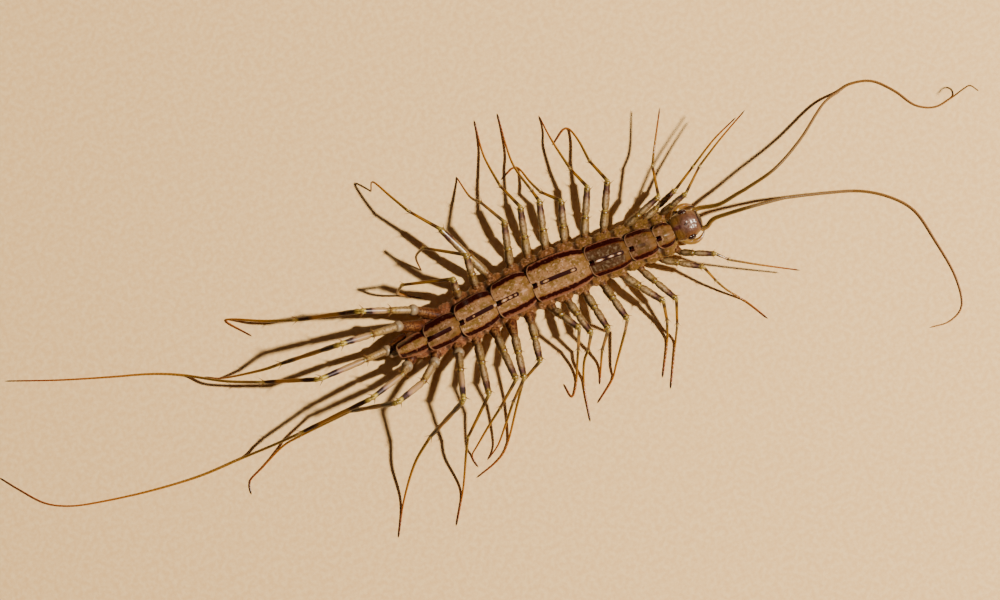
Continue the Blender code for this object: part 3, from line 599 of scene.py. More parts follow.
key = soft_light("key_light", direction=(1.0, 0.12, 1.15), distance=0.6, size=0.022, power=8.5)
key.data.color = colour("#FFEFD6")[:3]
soft_light("overhead_light", direction=(-0.10, 0.12, 1.0), distance=0.5, size=0.08, power=0.04)
sky = bpy.data.worlds.new("studio")
bpy.context.scene.world = sky
sky.use_nodes = True
feed(sky.node_tree, sky.node_tree.nodes["Background"], {"Color": colour("#F2B890"), "Strength": 0.05})
print("floor and lights set")

# %% [markdown]
# ## The body's measures
# These are the frame's own sizes: the line that the body follows, half its width over the plates, and the
# arch of the back. Every surface of the body is shaped from them, so it keeps to the solids.

# %% Body functions
LINE_MIDDLE = 0.25
LINE_BOW = 0.7
LINE_REACH = 15.0
PLATE_WIDTHS = ((14.2, 1.28), (8.0, 1.68), (2.0, 2.10), (-7.0, 1.85), (-12.0, 1.45), (-16.5, 0.55))
PLATE_DROP = 0.7
CROWN = 4.0
CROWN_LOSS_FRONT = 0.25
CROWN_LOSS_REAR = 0.5
BODY_HALF_LENGTH = 16.0
PLATES = ((12.35, 13.88), (9.45, 12.05), (5.25, 9.15), (-0.85, 4.95),
          (-4.85, -1.15), (-9.0, -5.15), (-12.6, -9.3), (-15.7, -12.9))
FIRST_STATION = 13.5
LEG_PITCH = 1.95
TRUNK_INSET = 0.75
TRUNK_LEAST = 0.8


def body_line(x):
    """How far left of the X axis the body's middle line runs at a station."""
    reach = max(-LINE_REACH, min(LINE_REACH, x))
    return LINE_MIDDLE - LINE_BOW * math.sin(math.pi * reach / (2 * LINE_REACH)) ** 2


def plate_half_width(x):
    """Half the width over the plates, eased between the named stations."""
    if x >= PLATE_WIDTHS[0][0]:
        return PLATE_WIDTHS[0][1]
    for (x1, w1), (x0, w0) in zip(PLATE_WIDTHS, PLATE_WIDTHS[1:]):
        if x >= x0:
            t = (x - x0) / (x1 - x0)
            return w0 + (w1 - w0) * t * t * (3 - 2 * t)
    return PLATE_WIDTHS[-1][1]


def back_height(x, share):
    """Height of the back at a share of its half width, from -1 to 1."""
    loss = CROWN_LOSS_FRONT if x > 0 else CROWN_LOSS_REAR
    return CROWN - loss * (abs(x) / BODY_HALF_LENGTH) ** 2 - PLATE_DROP * abs(share) ** 2.2


def trunk_half_width(x):
    """Half the width of the trunk, where the legs stand."""
    return max(plate_half_width(x) - TRUNK_INSET, TRUNK_LEAST)


def hump(value, centre, reach):
    """A smooth hump of height 1."""
    return math.exp(-((value - centre) / reach) ** 2)


print("widest over the plates:", round(2 * plate_half_width(2.0), 2), "mm")

# %% [markdown]
# ## Plates of the back
# A plate is an arched sheet, round at its rear corners, with a raised hood and a slit behind it where the
# animal breathes. It is made from a grid whose points are moved onto the arch, then given thickness and a
# rounded rim. Its front edge slips under the plate ahead, as on the animal.

# %% Model the plates
GRID_ROWS = 72
GRID_COLUMNS = 84
CORNER_START = 0.5
CORNER_DEPTH = 0.65
FRONT_DRAW = 0.25
FRONT_NARROWS = 0.17
NARROWS_FROM = 0.6
SIDES_BOW = 0.07
WIDTH_FOLLOWS_BODY = 0.45
FRONT_TUCK = 0.42
LENGTHWISE_ARCH = 0.015
REAR_LIFT = 0.085
REAR_LIP, REAR_LIP_REACH = 0.03, 0.02
SIDE_RIDGE, SIDE_RIDGE_AT, SIDE_RIDGE_REACH = 0.05, 0.95, 0.04
FURROW, FURROW_AT, FURROW_REACH = 0.04, 0.30, 0.12
STOMA_NOTCH, STOMA_NOTCH_REACH = 0.42, 0.10
STOMA_RISE, STOMA_AT, STOMA_ACROSS, STOMA_ALONG = 0.06, 0.8, 0.22, 0.40
SLIT_DEPTH, SLIT_AT, SLIT_ACROSS, SLIT_ALONG = 0.20, 0.42, 0.07, 0.22
SHELL_THICK = 0.06
RIM_ROUNDING = 0.05
# Each plate's side stripes as (share of the half width, half the stripe's width in mm), left then right
SIDE_STRIPES = (((0.88, 0.18), (0.82, 0.17)), ((0.85, 0.20), (0.79, 0.17)), ((0.80, 0.23), (0.87, 0.18)),
                ((0.81, 0.22), (0.78, 0.19)), ((0.85, 0.23), (0.75, 0.20)), ((0.82, 0.30), (0.86, 0.22)),
                ((0.77, 0.30), (0.89, 0.26)), ((0.60, 0.20), (0.62, 0.18)))
# Each plate's smoky darkening: its own tone, partly painted shade for dark reflections on tilted gloss
SMOKE_AND_SHADE = (0.45, 0.65, 1.0, 0.0, 0.0, 0.05, 0.45, 0.0)
# Each plate's middle stripe as (start, end, depth of colour), and its pale windows of painted highlight
# as (middle, reach, depth)
MEDIAN_STRIPES = (None, (10.25, 11.3, 0.42), (5.95, 8.95, 1.0), (0.05, 4.0, 0.92), (-4.35, -2.3, 1.0),
                  (-8.2, -5.1, 1.0), (-12.55, -9.8, 1.0), None)
HIGHLIGHT_WINDOWS = (((12.95, 0.12, 1.6),), (), ((6.4, 0.45, 3.2), (7.65, 0.32, 3.0), (8.5, 0.25, 2.6)),
           ((-0.15, 0.10, 1.3), (0.7, 0.28, 2.0), (3.6, 0.22, 2.2)),
           ((-3.9, 0.28, 2.8), (-3.2, 0.20, 2.2), (-2.65, 0.14, 1.6), (-1.7, 0.4, 1.0)),
           ((-8.35, 0.09, 1.6), (-7.3, 0.15, 1.2), (-4.95, 0.15, 1.6)), ((-9.75, 0.15, 0.8),), ())
STRIPES_START = 0.16
MEDIAN_LINE = -0.12
MEDIAN_HALF = 0.18
MEDIAN_FADES_BY, MEDIAN_FADE = 1.4, 2.2
HIGHLIGHT_HALF = 0.11
SLIT_MARK_HALF, SLIT_MARK_AT, SLIT_MARK_REACH = 0.26, 0.34, 0.25
SLIT_FADES_BY, SLIT_FADE = 1.2, 0.35


def plate_point(number, row, share):
    """A point of a plate's upper face and its distances from the rear, front and side edges.

    row runs 0 to 1 from rear to front, share -1 to 1 from right to left."""
    rear, front = PLATES[number - 1]
    has_stoma = number < len(PLATES)
    over = max(0.0, (abs(share) - CORNER_START) / (1 - CORNER_START))
    rear_edge = rear + CORNER_DEPTH * (1 - math.sqrt(max(0.0, 1 - over * over)))
    front_edge = front - FRONT_DRAW * over ** 2
    if has_stoma:
        rear_edge += STOMA_NOTCH * hump(share, 0, STOMA_NOTCH_REACH)
    x = rear_edge + (front_edge + FRONT_TUCK - rear_edge) * row
    half = plate_half_width((rear + front) / 2) * (1 - SIDES_BOW * (2 * row - 1) ** 2)
    half += (plate_half_width(x) - half) * WIDTH_FOLLOWS_BODY
    half *= 1 - FRONT_NARROWS * max(0.0, (row - NARROWS_FROM) / (1 - NARROWS_FROM)) ** 2
    ahead = (x - rear) / (front - rear)
    z = back_height(x, share)
    z += LENGTHWISE_ARCH * (front - rear) * math.sin(math.pi * min(1.0, ahead)) + REAR_LIFT * (1 - ahead)
    z += SIDE_RIDGE * hump(abs(share), SIDE_RIDGE_AT, SIDE_RIDGE_REACH)
    z -= FURROW * hump(abs(share), FURROW_AT, FURROW_REACH)
    z -= REAR_LIP * hump(row, 0, REAR_LIP_REACH)
    if has_stoma:
        z += STOMA_RISE * hump(share, 0, STOMA_ACROSS) * hump(x, rear + STOMA_AT, STOMA_ALONG)
        z -= SLIT_DEPTH * hump(share, 0, SLIT_ACROSS) * hump(x, rear + SLIT_AT, SLIT_ALONG)
    return (x, body_line(x) + share * half, z), (x - rear_edge, front_edge - x, (1 - abs(share)) * half)


def plate_marks(number, x, offset, share, half, from_rear):
    """How deep a point lies in the side stripe, what the middle shows there, and how smoky the plate is,
    with the painted shade that goes with it.

    The middle is 1 in the dark stripe and slit, and below 0 in the pale windows of painted highlight."""
    place, half_stripe = SIDE_STRIPES[number - 1][0 if share > 0 else 1]
    in_stripe = min(half_stripe - abs(abs(share) - place) * half, from_rear - STRIPES_START)
    offset -= MEDIAN_LINE
    value = 0.0
    if MEDIAN_STRIPES[number - 1]:
        start, end, depth = MEDIAN_STRIPES[number - 1]
        beyond = max(0.0, start + MEDIAN_HALF - x, x - end + MEDIAN_HALF)
        off = math.hypot(beyond, offset) / MEDIAN_HALF
        value = depth * max(0.0, min(1.0, MEDIAN_FADE * (MEDIAN_FADES_BY - off)))
    for middle, reach, depth in HIGHLIGHT_WINDOWS[number - 1]:
        value -= depth * hump(x, middle, reach) * hump(offset, 0, HIGHLIGHT_HALF)
    if number < len(PLATES):
        slit = PLATES[number - 1][0] + SLIT_MARK_AT
        inside = max(abs(offset) / SLIT_MARK_HALF, abs(x - slit) / SLIT_MARK_REACH)
        value = max(value, min(1.0, (SLIT_FADES_BY - inside) / SLIT_FADE))
    return in_stripe, value, SMOKE_AND_SHADE[number - 1]


def model_plate(number):
    """One plate, from a grid."""
    put_down()
    bpy.ops.mesh.primitive_grid_add(x_subdivisions=GRID_ROWS, y_subdivisions=GRID_COLUMNS, size=2 * MM)
    plate = bpy.context.object
    placed, rims, marks = [], [], []
    for x, share, _ in points_of(plate.data):
        point, edges = plate_point(number, (x + 1) / 2, share)
        offset = point[1] - body_line(point[0])
        half = offset / share if share else 1.0
        placed.append(point)
        rims.append(edges)
        marks.append(plate_marks(number, point[0], offset, share, half, edges[0]))
    place_points(plate.data, placed)
    write_attribute(plate.data, "rims", rims)
    write_attribute(plate.data, "marks", marks)
    finish_with(plate, "SOLIDIFY", thickness=SHELL_THICK * MM, offset=-1.0)
    finish_with(plate, "BEVEL", width=RIM_ROUNDING * MM, segments=2, limit_method="ANGLE",
                angle_limit=math.radians(50))
    edit(plate)
    bpy.ops.mesh.select_all(action="SELECT")
    bpy.ops.mesh.normals_make_consistent(inside=False)
    bpy.ops.object.mode_set(mode="OBJECT")
    plate.data.materials.append(plate_chitin)
    return hand_over(f"back_plate_{number}", [plate], 60, "plate", f"plate_{number}")


plates = [model_plate(number) for number in range(1, len(PLATES) + 1)]
print("plates:", [len(plate.data.polygons) for plate in plates], "faces")

# %% [markdown]
# ## Trunk skin
# The soft trunk is one skin from the neck to the last segment, so no seam shows where the solids are
# divided. A cylinder is cut into many rings, and its points move onto the body's cross-section: pinched
# between the segments, swollen round the root of each leg, wrinkled along the sides.

# %% Model the trunk skin
SKIN_FRONT, SKIN_REAR = 14.35, -14.6
SKIN_SIDES = 48
SKIN_BOTTOM = 1.15
SKIN_TOP_AT, SKIN_UNDER_PLATE = 0.8, 0.24
SKIN_PAST_FRONT, SKIN_PAST_REAR = 0.3, 0.2
SKIN_CUTS = (2, 99)
SKIN_LONG_EDGE = 0.5
SKIN_BULGE_LEFT, SKIN_BULGE_RIGHT = 1.4, 1.2
BULGE_EASES_FRONT, BULGE_EASES_REAR = 1.2, 2.8
SKIN_SQUARENESS = 0.75
LEG_SWELL, LEG_SWELL_HEIGHT = 0.22, 2.1
LEG_SWELL_ALONG, LEG_SWELL_UP = 0.85, 0.60
WRINKLE_DEPTH, WRINKLES, WRINKLE_WANDER, WANDER_RATE = 0.035, 14.0, 2.0, 5.0
FOLD_NARROWS, FOLD_SHARPNESS = 0.06, 16
# Painted shade on the skin just under the plate edge, and its reach in height
TOP_SHADE, TOP_SHADE_REACH = 0.6, 0.35
LEG_PAIRS = 15


def leg_station(pair):
    """Where a pair of legs stands along the body."""
    return FIRST_STATION - (pair - 1) * LEG_PITCH


def squared(angle, power):
    """A point of the unit circle pushed out towards a square, the more the lower the power."""
    return [math.copysign(abs(part) ** power, part) for part in (math.cos(angle), math.sin(angle))]


def trunk_point(x, angle):
    """A point of the trunk's skin, and how much painted shade its fold and the plate edge above give it."""
    bulge = SKIN_BULGE_LEFT if math.cos(angle) > 0 else SKIN_BULGE_RIGHT
    half = trunk_half_width(x) + bulge * min(1.0, (SKIN_FRONT + SKIN_PAST_FRONT - x) / BULGE_EASES_FRONT,
                                             (x - SKIN_REAR + SKIN_PAST_REAR) / BULGE_EASES_REAR)
    top = back_height(x, SKIN_TOP_AT) - SKIN_UNDER_PLATE
    middle, tall = (top + SKIN_BOTTOM) / 2, (top - SKIN_BOTTOM) / 2
    across, upward = squared(angle, SKIN_SQUARENESS)
    z = middle + upward * tall
    nearest = round((FIRST_STATION - x) / LEG_PITCH)
    station = FIRST_STATION - min(max(nearest, 0), LEG_PAIRS - 1) * LEG_PITCH
    crease = abs(math.sin(math.pi * (x - FIRST_STATION) / LEG_PITCH)) ** FOLD_SHARPNESS
    beside = hump(x, station, LEG_SWELL_ALONG) * hump(z, LEG_SWELL_HEIGHT, LEG_SWELL_UP)
    swell = LEG_SWELL * beside * abs(across) ** 2
    wander = WRINKLE_WANDER * math.sin(z * WANDER_RATE)
    wrinkle = WRINKLE_DEPTH * math.sin(x * WRINKLES + wander) * abs(across)
    narrow = 1 - FOLD_NARROWS * crease
    point = (x, body_line(x) + across * (half * narrow + swell + wrinkle), middle + (z - middle) * narrow)
    # The second value is painted shade: the crease between segments and the skin under the plate edge
    return point, min(1.0, crease + TOP_SHADE * hump(z, top, TOP_SHADE_REACH))


put_down()
bpy.ops.mesh.primitive_cylinder_add(vertices=SKIN_SIDES, radius=1 * MM, depth=(SKIN_FRONT - SKIN_REAR) * MM,
                                    location=((SKIN_FRONT + SKIN_REAR) / 2 * MM, 0, 0),
                                    rotation=(0, math.pi / 2, 0))
trunk = bpy.context.object
bpy.ops.object.transform_apply(location=True, rotation=True, scale=True)
edit(trunk)
for cuts in SKIN_CUTS:
    pick(trunk, "EDGE",
         lambda edge: abs(edge.verts[0].co.x - edge.verts[1].co.x) > SKIN_LONG_EDGE * MM)
    bpy.ops.mesh.subdivide(number_cuts=cuts)
bpy.ops.object.mode_set(mode="OBJECT")
placed, fold_shades = zip(*[trunk_point(x, math.atan2(z, y)) for x, y, z in points_of(trunk.data)])
place_points(trunk.data, placed)
write_attribute(trunk.data, "fold_shade", fold_shades)
trunk.data.materials.append(trunk_skin)
trunk = hand_over("trunk_skin", [trunk], 60, "trunk", "trunk_front", "trunk_middle", "trunk_rear")
print("trunk skin:", len(trunk.data.polygons), "faces")

# %% [markdown]
# ## Leg parts, each modelled once
# All thirty legs are made of the same parts: a stout coxa in the side of the trunk, the prefemur, femur and
# tibia, and a whip of some thirty short rings for the foot. The hip is a brown ball, and on the last three
# pairs a pale knob. Each part is turned once at a usual size, ribbed, given small spines drawn out of its
# own faces, and subdivided once. Copies are then stretched between the joints.

# %% Turn the leg parts
LEG_SIDES = 12
RIBS = 5
SPINE_STATIONS = (0.55, 1.0, 1.5, 2.05)
SPINE_HEIGHT = 0.12
SPINE_FOOT, SPINE_OUT, SPINE_ON = 0.02, 0.072, 0.054


def leg_part(name, stations, material, rib=0.0):
    """A turned part with its ribs and its colour. Its length is kept on it for the fitting."""
    part = turned(name, stations, LEG_SIDES)
    if rib:
        points = points_of(part.data)
        angle = np.arctan2(points[:, 2], points[:, 1])
        points[:, 1:] *= (1 + rib * np.cos(RIBS * (angle - math.pi / 2)))[:, None]
        set_points(part.data, points)
    part.data.materials.append(material)
    part["length"] = stations[-1][0]
    return part


def draw_spine(piece, place, foot, out, on):
    """Draw the face nearest to a place out into a spine: out along its normal and on along X, all in mm."""
    edit(piece)
    bm = bmesh.from_edit_mesh(piece.data)
    spot = Vector(place) * MM
    nearest = min(bm.faces, key=lambda face: (face.calc_center_median() - spot).length)
    index, way = nearest.index, (nearest.normal * out + Vector((on, 0, 0))) * MM
    pick(piece, "FACE", lambda face: face.index == index)
    bpy.ops.mesh.inset(thickness=foot * MM, depth=0)
    bpy.ops.mesh.extrude_region_move(TRANSFORM_OT_translate={"value": way})
    bpy.ops.mesh.merge(type="CENTER")
    bpy.ops.object.mode_set(mode="OBJECT")


PREFEMUR = ((0.0, 0.24), (0.10, 0.33), (0.3, 0.39), (0.7, 0.40), (1.2, 0.39), (1.8, 0.375), (2.4, 0.36),
            (2.75, 0.375), (2.9, 0.36), (3.0, 0.24))
FEMUR = ((0.0, 0.22), (0.08, 0.29), (0.3, 0.33), (0.8, 0.335), (1.5, 0.32), (2.2, 0.30), (2.7, 0.30),
         (2.9, 0.32), (3.0, 0.20))
TIBIA = ((0.0, 0.15), (0.08, 0.20), (0.3, 0.20), (1.0, 0.18), (1.8, 0.165), (2.6, 0.155),
         (2.9, 0.17), (3.0, 0.12))
REAR_TIBIA = ((0.0, 0.18), (0.08, 0.26), (0.25, 0.29), (0.5, 0.27), (1.0, 0.235), (1.8, 0.21), (2.6, 0.195),
              (2.9, 0.21), (3.0, 0.14))
COXA = ((-0.45, 0.58), (-0.10, 0.68), (0.25, 0.72), (0.6, 0.69), (0.9, 0.60), (1.15, 0.50), (1.4, 0.43),
        (1.6, 0.38), (1.68, 0.26))
KNOB = ((-0.36, 0.22), (-0.25, 0.38), (0.0, 0.46), (0.22, 0.40), (0.36, 0.24))
JOINT = ((-0.20, 0.12), (-0.14, 0.19), (-0.03, 0.21), (0.05, 0.205), (0.14, 0.18), (0.20, 0.10))
THORN = ((0.0, 0.06), (0.05, 0.056), (0.08, 0.044), (0.28, 0.030), (0.50, 0.016), (0.62, 0.004))

coxa = leg_part("coxa", COXA, coxa_chitin, 0.05)
knob = leg_part("knob", KNOB, knob_chitin)
prefemur = leg_part("prefemur", PREFEMUR, prefemur_chitin, 0.05)
femur = leg_part("femur", FEMUR, femur_chitin, 0.05)
tibia = leg_part("tibia", TIBIA, tibia_chitin, 0.04)
rear_tibia = leg_part("rear_tibia", REAR_TIBIA, banded_tibia_chitin, 0.04)
rear_femur = leg_part("rear_femur", FEMUR, banded_femur_chitin, 0.05)
joint = leg_part("joint", JOINT, joint_skin)
hip_ball = leg_part("hip_ball", JOINT, hip_skin)
thorn = leg_part("thorn", THORN, spur_chitin)
for part, radius in ((prefemur, 0.40), (femur, 0.34), (rear_femur, 0.34), (tibia, 0.20), (rear_tibia, 0.25)):
    for x in SPINE_STATIONS:
        for side in (-1, 1):
            draw_spine(part, (x, side * radius, SPINE_HEIGHT), SPINE_FOOT, SPINE_OUT, SPINE_ON)
leg_parts = (coxa, knob, hip_ball, prefemur, femur, rear_femur, tibia, rear_tibia, joint)
for part in leg_parts:
    finish_with(part, "SUBSURF", levels=1, render_levels=1)
print("leg parts:", {part.name: len(part.data.polygons) for part in (*leg_parts, thorn)})

# %% [markdown]
# A foot or a feeler is a row of rings, each a little swollen and with a hair or two. One ring is turned, an
# Array modifier repeats it, its girth tapers, and a Curve modifier lays the row along its way. The row's
# own lengths are written on the mesh first, so that colours follow it.

# %% Rings and whips
RING_SIDES = 10
TIP_CONE = 0.3
# Shares of a ring's length: its swollen stretch, then where a hair stands, how wide its foot is, its lean
SWELL_FROM, SWELL_TO = 0.2, 0.8
HAIR_AT, HAIR_FOOT, HAIR_LEAN = 0.5, 0.3, 0.9
EDGE_SLACK = 0.01


def whip_ring(name, pitch, swell, hair, hair_angles, material):
    """One open ring of unit radius, pitch mm long, with hairs that lean to the tip."""
    stations = ((0.0, 1 - swell), (pitch * SWELL_FROM, 1.0), (pitch * SWELL_TO, 1.0), (pitch, 1 - swell))
    ring = turned(name, stations, RING_SIDES)
    edit(ring)
    pick(ring, "FACE", lambda face: len(face.verts) == RING_SIDES)
    bpy.ops.mesh.delete(type="ONLY_FACE")
    bpy.ops.object.mode_set(mode="OBJECT")
    for angle in map(math.radians, hair_angles):
        place = (pitch * HAIR_AT, math.cos(angle), math.sin(angle))
        draw_spine(ring, place, foot=pitch * HAIR_FOOT, out=hair, on=pitch * HAIR_LEAN)
    ring.data.materials.append(material)
    ring["pitch"] = pitch
    return ring


def run_length(points):
    """The length of a row of points."""
    return sum((b - a).length for a, b in zip(points, points[1:]))


def lay_along(piece, points):
    """Bend a straight piece along a way given in body mm, and drop the way."""
    data = bpy.data.curves.new("way", "CURVE")
    data.dimensions = "3D"
    data.twist_mode = "Z_UP"
    spline = data.splines.new("POLY")
    spline.points.add(len(points) - 1)
    for spot, point in zip(spline.points, points):
        spot.co = (*world(point), 1.0)
    curve = add_object("way", data)
    finish_with(piece, "CURVE", object=curve, deform_axis="POS_X")
    bpy.data.objects.remove(curve, do_unlink=True)


def close_ends(piece, length):
    """Close a row of rings: a flat root, and a tip drawn out to a point."""
    edit(piece)
    pick(piece, "EDGE", lambda edge: edge.is_boundary and edge.verts[0].co.x < EDGE_SLACK * MM)
    bpy.ops.mesh.edge_face_add()
    pick(piece, "EDGE", lambda edge: edge.is_boundary and edge.verts[0].co.x > (length - EDGE_SLACK) * MM)
    bpy.ops.mesh.extrude_region_move(TRANSFORM_OT_translate={"value": (TIP_CONE * MM, 0, 0)})
    bpy.ops.mesh.merge(type="CENTER")
    bpy.ops.object.mode_set(mode="OBJECT")


def whip(name, ring, points, radius_at):
    """A row of rings along a way: radius_at gives its girth from root to tip."""
    total, pitch = run_length(points), ring["pitch"]
    piece = add_object(name, ring.data.copy())
    count = max(2, round(total / pitch))
    finish_with(piece, "ARRAY", fit_type="FIXED_COUNT", count=count, use_relative_offset=False,
                use_constant_offset=True, constant_offset_displace=(pitch * MM, 0, 0),
                use_merge_vertices=True, merge_threshold=1e-6)
    close_ends(piece, count * pitch)
    rows = points_of(piece.data)
    rings = rows[:, 0] / pitch
    share = np.clip(rings / count, 0, 1)
    write_attribute(piece.data, "share", share)
    write_attribute(piece.data, "ring", rings)
    write_attribute(piece.data, "lie", np.stack([share * total, rows[:, 1], rows[:, 2]], axis=1))
    rows[:, 0] *= total / (count * pitch)
    rows[:, 1:] *= np.array([radius_at(s) for s in share])[:, None]
    set_points(piece.data, rows)
    lay_along(piece, points)
    return piece


foot_ring = whip_ring("foot_ring", 0.42, 0.12, 0.35, (-60, -120, 80), tarsus_chitin)
feeler_ring = whip_ring("feeler_ring", 0.24, 0.10, 0.6, (90, -30, 210), feeler_chitin)
print("rings:", len(foot_ring.data.polygons), len(feeler_ring.data.polygons), "faces")

# %% [markdown]
# ## Pose of the legs
# The pose is the frame's: for each leg its knee and ankle on the sheet, then points along the foot to its
# tip, with heights over the floor. The hip comes from the body's measures, and the joint between prefemur
# and femur lies on the way to the knee unless the photo shows it elsewhere.

# %% Leg pose
LEG_POSES = {
    "left": (
        ((68.5, 19.4, 5.6), (69.9, 16.6, 5.9), (71.9, 14.0, 6.4), (74.2, 11.3, 7.0)),
        ((67.5, 19.0, 3.3), (69.3, 16.6, 4.1), (71.3, 14.0, 4.7), (73.3, 12.0, 5.6)),
        ((65.8, 19.7, 4.6), (65.2, 16.6, 3.4), (65.4, 14.8, 2.9), (65.9, 11.1, 3.3)),
        ((60.7, 18.1, 4.0), (58.9, 16.1, 2.2), (57.8, 14.0, 0.9), (56.6, 12.8, 0), (55.4, 14.3, 0)),
        ((58.7, 18.7, 3.5), (57.0, 16.9, 2.4), (55.5, 14.6, 1.4), (54.7, 13.2, 0.5), (54.0, 11.8, 0)),
        ((56.1, 20.1, 3.7), (54.0, 19.2, 2.4), (53.0, 18.2, 1.2), (51.6, 16.7, 0), (50.3, 17.8, 0)),
        ((53.9, 20.1, 3.8), (53.1, 19.0, 3.0), (51.6, 17.0, 1.4), (50.8, 15.2, 0.4), (49.8, 11.6, 0)),
        ((52.0, 20.7, 4.8), (50.0, 18.6, 2.6), (48.7, 16.3, 1.0), (48.1, 14.8, 0.3), (47.5, 12.3, 0)),
        ((50.4, 22.2, 6.3), (48.0, 20.2, 3.2), (47.0, 19.7, 1.9), (45.7, 17.8, 0)),
        ((44.0, 22.9, 4.2), (40.8, 21.1, 3.7), (39.0, 19.6, 3.0), (37.3, 18.2, 2.0), (37.1, 19.1, 0)),
        ((46.6, 25.5, 7.6), (42.3, 24.8, 4.2), (41.6, 25.7, 2.3), (42.1, 27.0, 0)),
        ((45.3, 27.9, 8.0), (40.2, 28.5, 4.8), (39.8, 29.3, 2.4), (40.8, 29.6, 0), (42.0, 29.8, 0)),
        ((36.1, 31.1, 6.5), (29.5, 32.0, 3.3), (26.5, 32.1, 1.8), (22.6, 32.0, 0), (25.0, 33.5, 0)),
        ((34.1, 34.4, 8.6), (28.0, 36.4, 4.2), (26.2, 37.0, 3.3), (22.4, 37.8, 0.8), (20.7, 37.7, 0)),
        ((32.0, 37.9, 5.5), (26.2, 38.2, 3.4), (22.5, 38.1, 2.3), (18.2, 37.5, 0), (15.0, 37.4, 0),
         (11.0, 37.7, 0), (6.0, 38.0, 0), (0.8, 38.1, 0)),
    ),
    "right": (
        ((71.5, 25.4, 4.2), (72.9, 26.0, 3.8), (76.0, 26.5, 3.2), (79.7, 27.0, 2.6)),
        ((70.3, 26.7, 3.4), (71.6, 28.1, 2.0), (72.7, 29.0, 1.0), (74.7, 30.2, 0), (76.6, 31.7, 0)),
        ((67.6, 29.9, 3.6), (67.7, 32.5, 1.9), (67.5, 34.6, 0), (67.1, 38.6, 0)),
        ((66.3, 30.1, 3.1), (66.7, 32.1, 1.4), (66.7, 34.4, 0), (66.3, 37.5, 0)),
        ((62.7, 31.9, 4.6), (62.5, 33.1, 1.8), (61.6, 36.5, 0.7), (61.2, 38.0, 0), (59.9, 40.1, 0)),
        ((60.8, 32.9, 4.4), (60.2, 35.0, 1.6), (60.1, 36.4, 0.4), (60.0, 38.2, 0)),
        ((59.1, 33.3, 4.0), (58.8, 35.0, 1.9), (58.4, 36.2, 1.2), (58.4, 38.5, 0), (59.0, 41.9, 0)),
        ((57.9, 32.8, 4.9), (57.8, 35.0, 2.0), (57.7, 36.8, 0.6), (57.6, 38.5, 0), (57.2, 39.7, 0),
         (56.5, 38.6, 0)),
        ((54.0, 36.1, 5.0), (52.3, 38.1, 2.6), (51.7, 40.5, 1.4), (50.7, 44.5, 0), (49.7, 46.1, 0),
         (47.9, 47.6, 0)),
        ((52.4, 37.8, 5.5), (51.3, 40.2, 3.0), (50.5, 42.6, 1.6), (49.8, 44.5, 0.6), (48.9, 45.8, 0)),
        ((51.6, 37.9, 7.0), (50.0, 40.8, 4.0), (48.8, 42.7, 2.6), (47.7, 44.6, 1.2), (47.2, 45.6, 0),
         (47.7, 46.5, 0)),
        ((48.9, 39.4, 6.8), (46.8, 43.7, 3.0), (46.6, 45.5, 2.4), (46.3, 49.0, 0.3), (45.7, 52.3, 0)),
        ((46.4, 40.0, 9.1), (43.0, 43.7, 4.4), (41.5, 46.3, 2.6), (40.4, 50.0, 0.4), (39.9, 53.5, 0)),
        ((39.8, 40.2, 9.0), (35.0, 41.1, 4.6), (30.0, 43.6, 1.6), (28.2, 44.7, 0.4), (26.2, 46.8, 0),
         (25.0, 48.1, 0), (25.1, 49.2, 0)),
        ((37.2, 39.8, 7.0), (30.0, 43.3, 4.0), (27.8, 44.3, 2.6), (24.0, 45.9, 0), (20.0, 47.6, 0),
         (15.0, 49.1, 0), (10.0, 50.2, 0), (7.0, 50.6, 0), (4.5, 50.3, 0), (2.0, 49.0, 0), (0.2, 47.9, 0)),
    ),
}
LEG_BENDS = {
    ("left", 15): (36.5, 36.0, 4.3),
    ("right", 14): (42.3, 38.2, 6.0),
    ("right", 15): (40.2, 37.5, 5.0),
}
# The coxae reach out past the frame's hips, most of all at the rear, and the bend moves on with them
HIP_SHARE = 0.22
HIP_ON = {("left", 13): 0.72, ("left", 14): 0.62, ("left", 15): 0.05, ("right", 15): 0.15, ("left", 1): 0.1,
          ("right", 8): 0.35, ("right", 9): 0.45, ("right", 10): 0.55, ("right", 11): 0.30}
BEND_ON = {("left", 13): 0.35, ("left", 14): 0.3, ("right", 9): 0.15, ("right", 10): 0.2}
BEND_SHARE = 0.45
BEND_RISE = 0.62
GAP = 0.3
COXA_LENGTH = 1.05
COXA_AIM = 0.6
COXA_HEIGHT = 1.9
HIP_HEIGHT = 2.05
LAST_ROOT_X = -14.3 - GAP
LAST_PAIR_ROOT = 0.98
LAST_HIPS = {"left": (-16.50, 0.15), "right": (-15.25, -2.00)}
LEG_SCALE = {1: 0.8, 2: 0.82, 3: 0.88, 15: 0.9}
FOOT_R, TOE_R = 0.15, 0.07
FOOT_STEP = 0.5
REAR_PAIR = 13
REAR_KNOB, HIP_BALL = 1.4, 1.9
THIGH_GIRTH = 1.15


def smooth_points(points, step):
    """Points on a smooth curve through the given ones, about one step apart."""
    ends = [points[0] * 2 - points[1], *points, points[-1] * 2 - points[-2]]
    out = [points[0].copy()]
    for p0, p1, p2, p3 in zip(ends, ends[1:], ends[2:], ends[3:]):
        pieces = max(1, round((p2 - p1).length / step))
        for n in range(1, pieces + 1):
            t = n / pieces
            out.append(0.5 * (p1 * 2 + (p2 - p0) * t + (p0 * 2 - p1 * 5 + p2 * 4 - p3) * t * t
                              + (p1 * 3 - p0 - p2 * 3 + p3) * t ** 3))
    return out


